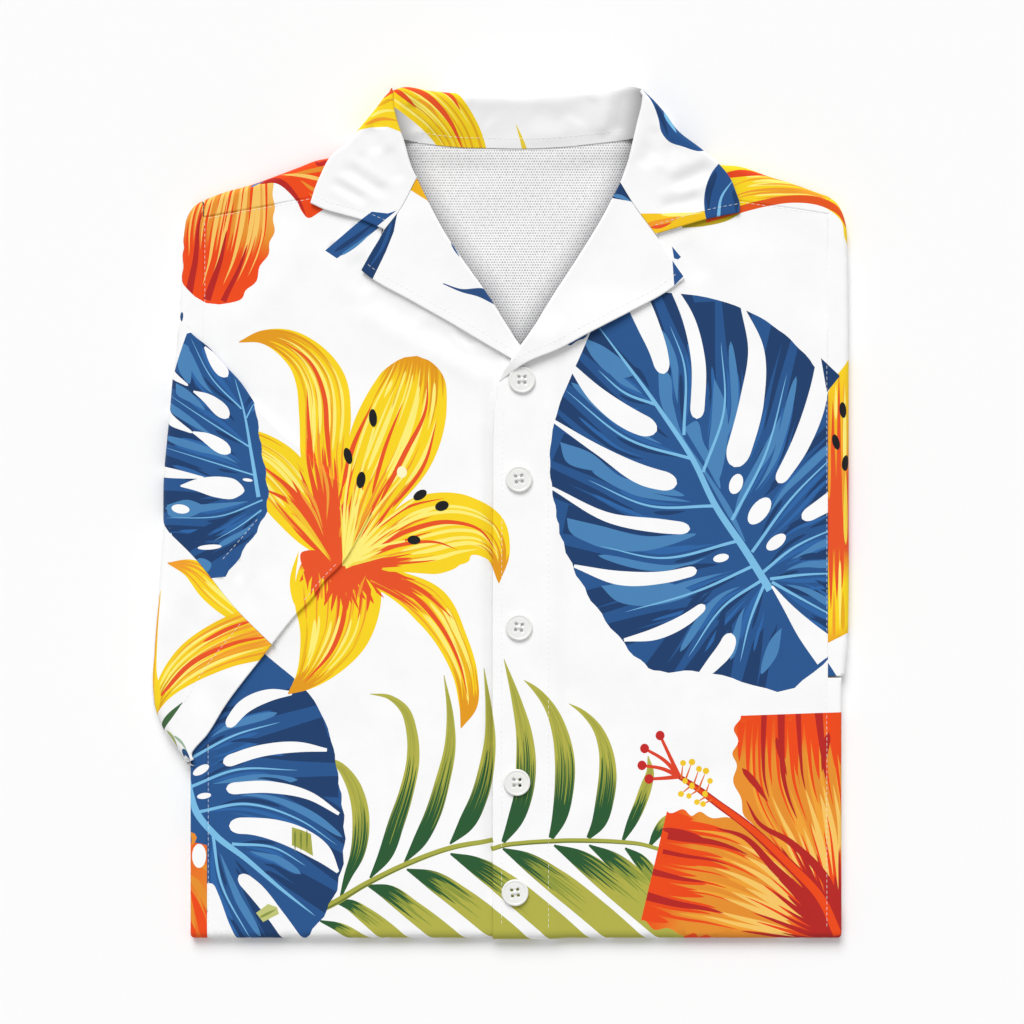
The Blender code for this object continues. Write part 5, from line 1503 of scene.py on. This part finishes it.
facing_lower, on_facing_lower = panel(
    "facing_right_cloth", FACING_LOWER, lapel_lower_height, looks, LAPEL_PRINT, step=2.2
)
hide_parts("facing_right")
facing_upper, on_facing_upper = panel(
    "facing_left_cloth", FACING_UPPER, lapel_upper_height, looks, LAPEL_PRINT, step=2.2
)
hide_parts("facing_left")

# --- The collar ---------------------------------------------------------------------------
# Upper and under collar with interfacing between, turned and topstitched. It stands round
# the neck, rolls over, and its two leaves lie on the shoulders.

SEAM_TOP, JOIN, CREST = 7.95, 12.6, 15.0  # heights at the neck seam, at the leaves, at the top
BAND = [
    edge([(-64.8, 239.2), (-62.1, 238.7), (-44.8, 236), (-25.1, 234), (-10.2, 233.7), (16.6, 233.3),
          (37.8, 234.2), (63.4, 236.8), (84.5, 239.4), (87.2, 239.8)]),
    edge([(87.2, 239.8), (89.6, 250.2), (91.6, 261.5), (91, 269.4)]),
    edge([(89, 271.4), (83.8, 272.6), (63.4, 270.7), (37.8, 268.8), (12.2, 266.9), (-5.8, 267.6),
          (-23.7, 268), (-44.8, 269.6), (-63.6, 271.9), (-67, 271)], 3.2, 90, 14.2),
    edge([(-69.6, 267.5), (-68, 247.7), (-64.8, 239.2)]),
]
BAND_CREASES = [
    Crease(80, 274, 74, 240, 5, 2.2),
    Crease(56, 266, 48, 250, 8, 0.8),
    Crease(-20, 262, -6, 250, 9, 0.7),
    Crease(20, 256, 40, 248, 7, 0.6),
    Crease(-58, 262, -55, 244, 5, 1.6),
]


def band_height(places):
    """The band climbs from its seam to the crest, and meets the leaves lower down."""
    up = np.clip(-nearest(BAND[0], places)[1] / 29, 0, 1)
    swell = (ripple(places, 0.35) + creased(places, BAND_CREASES)) * level(up * 3)
    low = SEAM_TOP + (CREST - SEAM_TOP) * up + swell
    away = np.min([-nearest(BAND[k], places)[1] for k in (1, 3)], axis=0)
    return low + (JOIN - low) * np.exp(-((away / 5.5) ** 2))


def painted_shade_beside_leaves(places):
    """Painted shade: greyer at both ends of the band, where it goes down under the leaves."""
    left, right = (np.abs(nearest(BAND[k], places)[1]) for k in (3, 1))
    shares = np.minimum(np.clip(left / 16, 0, 1), np.clip(right / 18, 0, 1))
    return ramp((0, "#8E8E90"), (0.45, "#CDCDCE"), (1, WHITE))(shares)


# Painted shade at the band's ends, laid under its print.
band_painted_shade = Print(np.array([(-90, 225), (110, 225), (110, 300), (-90, 300)], float), painted_shade_beside_leaves)
band, on_band = panel(
    "collar_band_cloth", BAND, band_height, looks, [band_painted_shade, *BAND_PRINT], step=2.2
)
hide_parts("collar_band")

OVER = (3.2, math.pi / 2, 15.5)  # radius, turn and reach where it rolls over at the neck
ROLL_DOWN = (1.6, 100, 4.2)
LEAF_LEFT = [
    edge([(76.2, 211.2), (83.2, 199.7), (89.6, 190.5), (98.9, 178.2)], *SEAM),
    edge([(98.9, 178.2), (119, 184.3), (132.5, 188.2), (152.6, 192.2)], *BAGGED),
    edge([(152.6, 192.2), (152.7, 197.8), (150.4, 204.8), (146.9, 213.4), (139.5, 223, 1.2, 2.6, 5),
          (127.2, 233.6, 2.6, 1.9, 11), (112.6, 245.1, *OVER),
          (105, 255.5, *OVER), (94, 267.3, *OVER), (91.4, 269.6, *OVER)], *BAGGED),
    edge([(90.2, 268.6), (89.6, 261.1), (87, 250.2), (84.5, 239.4), (81.3, 225.9), (76.2, 211.2)],
         *ROLL_DOWN),
]
LEAF_RIGHT = [
    edge([(-74.4, 181.2), (-65.6, 192.6), (-53.8, 214.4)], *SEAM),
    edge([(-53.8, 214.4), (-57, 221.4), (-62.1, 238.7), (-65.3, 247.7), (-68.5, 262),
          (-68.6, 268.6)], *ROLL_DOWN),
    edge([(-71.0, 269.4, *OVER), (-73.6, 266.9, *OVER), (-80.6, 257.9, *OVER),
          (-90.9, 245.8, *OVER), (-99.8, 236.2, 2.6, 1.9, 11), (-108.8, 228.2, 1.2, 2.6, 5),
          (-115.6, 215.7), (-118.4, 209.3), (-122, 198.2)], *BAGGED),
    edge([(-122, 198.2), (-113, 194.1), (-101.1, 190.7), (-89.6, 187.5), (-74.4, 181.2)],
         *BAGGED),
]
LEAF_CREASES = [
    Crease(-99.8, 221.4, -74, 204, 3.4, 0.9),
    Crease(-108.1, 211.5, -87, 199.7, 2.8, 0.7),
    Crease(-83.2, 245.8, -79.4, 231, 4.5, 1),
    Crease(-72, 232, -66, 212, 5, 0.8),
    Crease(99.2, 245.8, 91.5, 221.4, 5, 1.2),
    Crease(134.5, 220.5, 110.1, 209.3, 4.4, 1.3),
    Crease(127.4, 201.3, 102.4, 194.6, 4.2, 1.2),
    Crease(112, 236, 98, 226, 6, 0.9),
]
LEAF_FREE_LEFT = edge([(98.9, 178.2), (119, 184.3), (152, 192.2)])
LEAF_FREE_RIGHT = edge([(-121.6, 198.1), (-89.6, 187.5), (-74.4, 181.2)])


def leaf_height(places):
    """The leaf lies on the front at its free edge and climbs to the roll at the neck."""
    x, y = places.T
    left, right = (nearest(side, places)[1] for side in (LEAF_FREE_LEFT, LEAF_FREE_RIGHT))
    free = np.where(x > MIDDLE_X, left, right)
    up = np.clip(-free / 85, 0, 1)
    base = STACK + rise(places) + 0.3 + COLLAR_CLOTH + 0.9
    return base + 3.4 * level(up) + creased(places, LEAF_CREASES) + ripple(places, 0.18)


leaf, on_leaf_left = panel("collar_leaf_left_cloth", LEAF_LEFT, leaf_height, looks, LEAF_PRINT,
                           step=2.2)
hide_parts("collar_leaf_left")
leaf, on_leaf_right = panel(
    "collar_leaf_right_cloth", LEAF_RIGHT, leaf_height, looks, LEAF_PRINT, step=2.2,
    lowest=ABOVE_TABLE
)
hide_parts("collar_leaf_right")

# --- The sleeves --------------------------------------------------------------------------
# One piece each, set into the armhole and seamed under the arm. The wearer's left sleeve is
# folded behind along its armhole. The right one is folded forward, and lies on the front
# with its underarm seam up.

SLEEVE_LEFT = [
    edge([(220.4, -104.3), (222.2, -86), (223, -56), (223, 0), (223, 72), (222.8, 136.3),
          (222.2, 170.9), (221.2, 184.5), (218.4, 193.9), (214.6, 199.6), (209.7, 203)],
         *BODY_FOLD),
    edge([(209.7, 199.5), (209.7, 192)]),
    edge([(209.7, 192), (209.7, 100), (209.7, 0), (209.7, -104.3)], *TUCK),
    edge([(209.7, -104.3), (216.4, -104.3)]),
]
SLEEVE_CAP = [
    edge([(-190.7, 200.5), (-196.6, 197), (-201.2, 190.1), (-203.5, 178), (-204.5, 162.6),
          (-205.4, 142), (-206.1, 124.8), (-207.2, 103.4)], *BODY_FOLD),
    edge([(-203.8, 103.4), (-190.7, 103.4)]),
    edge([(-190.7, 103.4), (-190.7, 160), (-190.7, 189.6)], *TUCK),
    edge([(-190.7, 189.6), (-190.7, 197)]),
]
for name, cut, prints in (
    ("sleeve_left", SLEEVE_LEFT, STRIP_PRINT), ("sleeve_right_cap", SLEEVE_CAP, CAP_PRINT)
):
    part, _ = panel(name + "_cloth", cut, shoulder_height, looks, prints, step=2.0)
    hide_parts(name)

SLEEVE_ROLL = 5.8  # radius of the fold at its outer edge
AROUND_SLEEVE = math.pi * SLEEVE_ROLL + 5
CORNER = (-82.6, 0.6)  # the sleeve's free corner
SLEEVE_UPPER = [
    edge([(-205.2, 124.6, 0.3, 1.3, 0.4), (-206.8, 118, 2.0, math.pi, 5.0),
          (-208.3, 104, SLEEVE_ROLL, math.pi, AROUND_SLEEVE), (-210.6, 85.1), (-212.6, 62),
          (-214.6, 42), (-216.3, 21.1), (-216.5, 10, SLEEVE_ROLL, math.pi, AROUND_SLEEVE),
          (-216.5, 7.6, SLEEVE_ROLL, math.pi, 20.0), (-216.5, -13.8, SLEEVE_ROLL, math.pi, 0.1)],
         SLEEVE_ROLL, 180, AROUND_SLEEVE),
    edge([(-210.5, -14.2), (-199, -25.2), (-169, -61.7), (-146.4, -84.1)], *SEAM),
    edge([(-146.4, -84.1), (-130.6, -64.6), (-121.6, -55.7), (-113.3, -44.2), (-103, -33.9),
          (*CORNER, 0.45, math.pi, 4.0)], 0.8, 180, 5.0),
    edge([(*CORNER, 0.45, math.pi, 4.0), (-97.9, 17.3, 0.6, 2.8, 4.4), (-109.4, 25), (-129.9, 44.2),
          (-139.5, 51.8), (-156.2, 69.1), (-166.8, 84.2), (-179.8, 97.9), (-186.1, 105.2),
          (-197.8, 114.9, 0.7, 2, 2), (-204.2, 122.4, 0.3, 1.3, 0.4)], 1.4, 130, 4.6),
]
SLEEVE_LOWER = [
    edge([(-215.6, 0), (-216.2, -9.6), (-217.6, -23.7), (-219.5, -52.5), (-222.5, -89),
          (-223.6, -115.2), (-222.1, -124.2), (-219.5, -131), (-215.6, -139.9), (-204.8, -154.9),
          (-201, -160.6)], SLEEVE_ROLL, 90, SLEEVE_ROLL * math.pi / 2 + 5.0),
    edge([(-200.4, -160.6), (-198.4, -154.9), (-187.5, -141.4), (-176, -122.9), (-154.5, -94.7),
          (-146.8, -84.9)], 0.8, 180, 5.0),
    edge([(-146.8, -84.9), (-169.2, -62.5), (-199.2, -26), (-209.5, -15)], *TUCK),
    edge([(-209.5, -15), (-209.8, 0)]),
]
SLEEVE_CREASES = [
    Crease(-167.7, -18, -167.7, -44, 3.5, 0.7),
    Crease(-190.5, 112, -190.7, 58, 5, 0.5),
    Crease(-182, -68, -158, -102, 9, 0.9),
    Crease(-202, -58, -192, -122, 7, 0.8),
    Crease(-128, 24, -150, -44, 12, 0.7),
    Crease(-186, 70, -150, 20, 14, 0.4),
]


def from_corner(places):
    """0 at the sleeve's free corner, where it lies closest to the front, and 1 far from it."""
    return level(np.hypot(*(places - CORNER).T) / 100)


def sleeve_height(places):
    far = from_corner(places)
    base = STACK + rise(places) + 1.2 + (2 * LAP - 1.2) * far
    return base + creased(places, SLEEVE_CREASES) + ripple(places, 0.12) * far


part, on_sleeve_upper = panel(
    "sleeve_right_over_cloth", SLEEVE_UPPER, sleeve_height, looks, SLEEVE_UPPER_PRINT, step=2.2,
    lowest=ABOVE_TABLE,
)
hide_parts("sleeve_right_over")
part, on_sleeve_lower = panel(
    "sleeve_right_underarm_cloth", SLEEVE_LOWER, sleeve_height, looks, SLEEVE_PRINT, step=2.2
)
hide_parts("sleeve_right_underarm")

SLEEVE_UNDERSIDE = [
    edge([(-205, 96), (-207, 60), (-207, 20), (-207, -5), (-209, -40), (-212, -80), (-212, -110),
          (-207, -130)]),
    edge([(-207, -130), (-192, -143), (-178, -122.5), (-156.5, -94), (-132.5, -64), (-115, -43.6),
          (-86.4, 0.9, 0.15, math.pi, 3.0)], 0.55, 180, 4.0),
    edge([(-86.4, 0.9, 0.15, math.pi, 3.0), (-112, 24), (-132, 42), (-158, 66.4), (-182, 95.4),
          (-194, 104)], 0.55, 180, 4.0),
    edge([(-194, 104), (-205, 96)]),
]
part, _ = panel(
    "sleeve_right_underside_cloth", SLEEVE_UNDERSIDE,
    lambda q: STACK + rise(q) + 0.5 + (LAP - 0.55) * from_corner(q), looks, (), step=5.0,
)
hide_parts("sleeve_right_underside")

# --- The topstitching ---------------------------------------------------------------------
# White polyester thread, machined along the turned edges, seams and hems. The real stitch is
# 0.3 mm wide; it is drawn wider so that it can show.


def sewn(name, place, lines, stitch=2.5, gap=1.0, thread=0.30):
    """Rows of short raised stitches, each dipping into the cloth at its ends."""
    sides, stations = 6, 5
    angle = np.linspace(0, 2 * math.pi, sides, endpoint=False)
    verts, faces = [], []
    for line in lines:
        path, way = measured(flowing(np.asarray(line)[:, :2], 1.0))
        starts = np.arange(1.0, way[-1] - stitch, stitch + gap)
        share = (starts[:, None] + np.linspace(0, stitch, stations)).ravel() / way[-1]
        spots = np.column_stack([np.interp(share, path[:, -1], path[:, c]) for c in (0, 1)])
        laid = place(spots).reshape(-1, stations, 3)
        run = laid[:, -1] - laid[:, 0]
        aside = np.column_stack([run[:, 1], -run[:, 0]]) / np.hypot(run[:, 0], run[:, 1])[:, None]
        arch = np.sin(np.linspace(0, math.pi, stations))
        for middle, out in zip(laid, aside):
            first = len(verts)
            for k in range(stations):
                wide = thread / 2 * (0.55 + 0.45 * arch[k])
                for a in angle:
                    x, y = middle[k, :2] + out * wide * math.cos(a)
                    verts.append((x, y, middle[k, 2] - 0.1 + 0.2 * arch[k] + wide * math.sin(a)))
            for k in range(stations - 1):
                for j in range(sides):
                    a, b = first + k * sides + j, first + k * sides + (j + 1) % sides
                    faces.append((a, b, b + sides, a + sides))
            faces.append(tuple(first + j for j in range(sides))[::-1])
            faces.append(tuple(first + (stations - 1) * sides + j for j in range(sides)))
    mesh = bpy.data.meshes.new(name)
    mesh.from_pydata((np.array(verts) * MM).tolist(), [], faces)
    mesh.shade_smooth()
    mesh.materials.append(thread_look)
    piece = bpy.data.objects.new(name, mesh)
    bpy.context.scene.collection.objects.link(piece)
    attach(piece, "root")


def within(line, by):
    """The line moved to its left, without the loops that sharp corners would make."""
    line = line[line[:, 2] < 1.0] if line.shape[1] > 2 else line
    row = moved(line, -by)
    away = np.abs(nearest(line, row)[1])
    return row[away > by * 0.97]


thread_look = blank("white_polyester_thread")
spun = add(thread_look, "BsdfPrincipled", Roughness=0.6)
spun.inputs["Base Color"].default_value = (*linear("#F4F4F2"), 1.0)
add(thread_look, "OutputMaterial", [("Surface", spun.outputs[0])])

FROM_EDGE = 5.6  # the row's distance from a turned edge
sewn("lapel_right_topstitch", on_facing_lower, [within(FACING_LOWER[2], FROM_EDGE)])
sewn("lapel_left_topstitch", on_facing_upper, [within(FACING_UPPER[1], FROM_EDGE)])
sewn("collar_right_topstitch", on_leaf_right, [within(LEAF_RIGHT[3], FROM_EDGE)])
sewn("collar_left_topstitch", on_leaf_left, [within(LEAF_LEFT[1], FROM_EDGE)])
sewn("collar_band_topstitch", on_band, [moved(BAND[0], -6.2)[3:-3]])
sewn("placket_topstitch", on_upper_front, [
    [(1.4, 66), (0.7, 8), (0.4, -60), (0.4, -266)], [(30.4, 60), (30.4, -100), (30.4, -266)],
])
sewn("armhole_left_topstitch", on_upper_front, [
    [(208.6, 190), (208.6, 0), (208.6, -266)],
    [(205, 191.3), (183.4, 194.6), (156, 198.6), (150, 199.4)],
])
sewn("armhole_right_topstitch", on_lower_front, [
    [(-189.6, 187), (-189.6, 128)], [(-187.5, -147), (-187.3, -266)],
    [(-188, 188.6), (-163.2, 193.2), (-145.3, 196.4), (-122, 201.2)],
])
sewn("sleeve_hem_topstitch", on_sleeve_upper, [
    [(-178.6, -30.4), (-161.9, -11.5), (-155.5, -3.8)],
    [(-126.2, -56.6), (-116.6, -44.4), (-105.4, -32.6)],
])
sewn("sleeve_hem_topstitch_below", on_sleeve_lower, [[(-203, -122), (-193, -105), (-166.5, -70.5)]])

# --- The buttons --------------------------------------------------------------------------
# Five four-hole buttons, turned from white polyester: a dished face inside a round rim.

Spot = namedtuple("Spot", "x y")
BUTTONS = [Spot(13.4, 85.1), Spot(11.5, 21.8), Spot(11.5, -73), Spot(10.2, -172.2), Spot(9, -242.6)]
BUTTON_DISH = [(0, 1.66), (3.4, 1.68), (4.8, 1.72), (5.6, 1.75), (6.2, 1.74)]  # radius, height
BUTTON_RIM = [
    (6.2, 1.74), (6.6, 1.70), (6.85, 1.72), (7.15, 1.90), (7.6, 2), (8, 1.94), (8.35, 1.74),
    (8.55, 1.4), (8.6, 1), (8.4, 0.5), (7.7, 0.15), (6.2, 0),
]
HOLE_RADIUS, HOLE_SPACING = 0.95, 3.8
AROUND, AROUND_HOLE = 72, 24  # points round the button and round a hole
BUTTON_RAISE = 0.25  # its back lies this far above the cloth's middle


def polyester(name, colour):
    """Cast polyester: milky, glossy, with faint clouding."""
    material = blank(name)
    place = add(material, "TexCoord").outputs["Object"]
    cloud = add(material, "TexNoise", [("Vector", place)], Scale=220.0, Detail=3.0)
    milky = add(
        material, "MapRange", [(0, cloud.outputs[0])], in_1=0.3, in_2=0.7, in_3=0.94, in_4=1.0
    )
    tinted = add(
        material, "Mix", [(7, milky.outputs[0])], in_6=(*linear(colour), 1.0),
        data_type="RGBA", blend_type="MULTIPLY", Factor=1.0,
    )
    made = add(
        material, "BsdfPrincipled", [("Base Color", tinted.outputs[2])], Roughness=0.28, IOR=1.55
    )
    made.inputs["Coat Weight"].default_value = 0.3
    add(material, "OutputMaterial", [("Surface", made.outputs[0])])
    return material


button_look = polyester("white_cast_polyester", "#F1F1EE")


def ring_of(radius, count, x=0.0, y=0.0):
    """Points evenly round a circle."""
    turn = np.linspace(0, 2 * math.pi, count, endpoint=False)
    return np.column_stack([x + radius * np.cos(turn), y + radius * np.sin(turn)])


rings = [ring_of(6.2, AROUND)] + [ring_of(r, AROUND) for r, _ in BUTTON_DISH[1:-1]]
half = HOLE_SPACING / 2
holes = [ring_of(HOLE_RADIUS, AROUND_HOLE, x, y) for x in (-half, half) for y in (-half, half)]
cords, spots = [], []
for ring in rings + holes:
    first = sum(len(r) for r in spots)
    spots.append(ring)
    cords += [(first + k, first + (k + 1) % len(ring)) for k in range(len(ring))]
flat, _, facets, *_ = delaunay_2d_cdt([tuple(p) for p in np.vstack(spots)], cords, [], 0, 1e-5)
flat = np.array([tuple(p) for p in flat])
facets = np.array([f for f in facets if len(f) == 3])
centres = flat[facets].mean(axis=1)
open_ones = np.zeros(len(facets), bool)
for ring in holes:
    open_ones |= np.hypot(*(centres - ring.mean(axis=0)).T) < HOLE_RADIUS * 0.99
facets = facets[~open_ones]
dish = np.interp(np.hypot(*flat.T), *zip(*BUTTON_DISH))
count = len(flat)
verts = np.vstack([np.column_stack([flat, dish]), np.column_stack([flat, np.zeros(count)])])
faces = [tuple(f) for f in facets] + [tuple(f[::-1] + count) for f in facets]
for ring in holes:
    near = [int(np.argmin(np.hypot(*(flat - p).T))) for p in ring]
    faces += [(a, b, b + count, a + count) for a, b in zip(near, near[1:] + near[:1])]
first = len(verts)
for radius, height in BUTTON_RIM:
    verts = np.vstack([verts, np.column_stack([ring_of(radius, AROUND), np.full(AROUND, height)])])
for row in range(len(BUTTON_RIM) - 1):
    for k in range(AROUND):
        a, b = first + row * AROUND + k, first + row * AROUND + (k + 1) % AROUND
        faces.append((a, a + AROUND, b + AROUND, b))
turned = bpy.data.meshes.new("button_turned")
turned.from_pydata((verts * MM).tolist(), [], faces)
shell = bmesh.new()
shell.from_mesh(turned)
bmesh.ops.remove_doubles(shell, verts=shell.verts, dist=1e-6)
bmesh.ops.recalc_face_normals(shell, faces=shell.faces)
shell.to_mesh(turned)
shell.free()
turned.materials.append(button_look)
for polygon in turned.polygons:
    polygon.use_smooth = abs(polygon.normal.z) > 0.02 or polygon.center.xy.length > 6 * MM
for number, at in enumerate(BUTTONS, 1):
    piece = bpy.data.objects.new(f"button_{number}_turned", turned.copy())
    bpy.context.scene.collection.objects.link(piece)
    seat = float(upper_front_height(np.array([[at.x, at.y]]))[0]) + BUTTON_RAISE
    piece.location = (at.x * MM, at.y * MM, seat * MM)
    piece.rotation_euler = (0, 0, 0.12 * (number % 3 - 1))
    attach(piece, "root")
    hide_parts(f"button_{number}")

# --- The table and the light --------------------------------------------------------------
# A pale matt table top, a soft light from beyond the collar and a weak one from the shirt's
# left, and a camera straight above.

bpy.ops.mesh.primitive_plane_add(size=6.0, location=(0, 0, 0))
table = bpy.context.object
table.name = "table_top"
top_look = blank("matt_white_laminate")
surface = add(top_look, "BsdfPrincipled", Roughness=0.9)
surface.inputs["Base Color"].default_value = (*linear("#FBFBFB"), 1.0)
add(top_look, "OutputMaterial", [("Surface", surface.outputs[0])])
table.data.materials.append(top_look)

world = bpy.data.worlds.new("studio")
bpy.context.scene.world = world
world.use_nodes = True
world.node_tree.nodes["Background"].inputs[0].default_value = (1, 1, 1, 1)
world.node_tree.nodes["Background"].inputs[1].default_value = 0.42

Lamp = namedtuple("Lamp", "name x y z softness strength")  # softness in degrees
for lamp in (Lamp("key", -0.22, 1.0, 0.92, 36.0, 2.4), Lamp("fill", 0.8, -0.3, 1.5, 60.0, 0.3)):
    light = bpy.data.lights.new(lamp.name, "SUN")
    light.angle, light.energy = math.radians(lamp.softness), lamp.strength
    holder = bpy.data.objects.new(lamp.name, light)
    bpy.context.scene.collection.objects.link(holder)
    holder.location = (lamp.x, lamp.y, lamp.z)
    toward = -holder.location
    holder.rotation_euler = toward.to_track_quat("-Z", "Y").to_euler()

# Metres: the width in view, its middle, and the height at which it is that wide.
VIEW_WIDTH, VIEW_X, VIEW_Y, VIEW_PLANE = 0.65536, 0.00704, 0.00064, 0.009
camera = bpy.data.cameras.new("camera")
camera.lens, camera.sensor_width = 100.0, 36.0
eye = bpy.data.objects.new("camera", camera)
bpy.context.scene.collection.objects.link(eye)
eye.location = (VIEW_X, VIEW_Y, VIEW_PLANE + VIEW_WIDTH * camera.lens / camera.sensor_width)
bpy.context.scene.camera = eye
scene = bpy.context.scene
scene.view_settings.view_transform = "Standard"
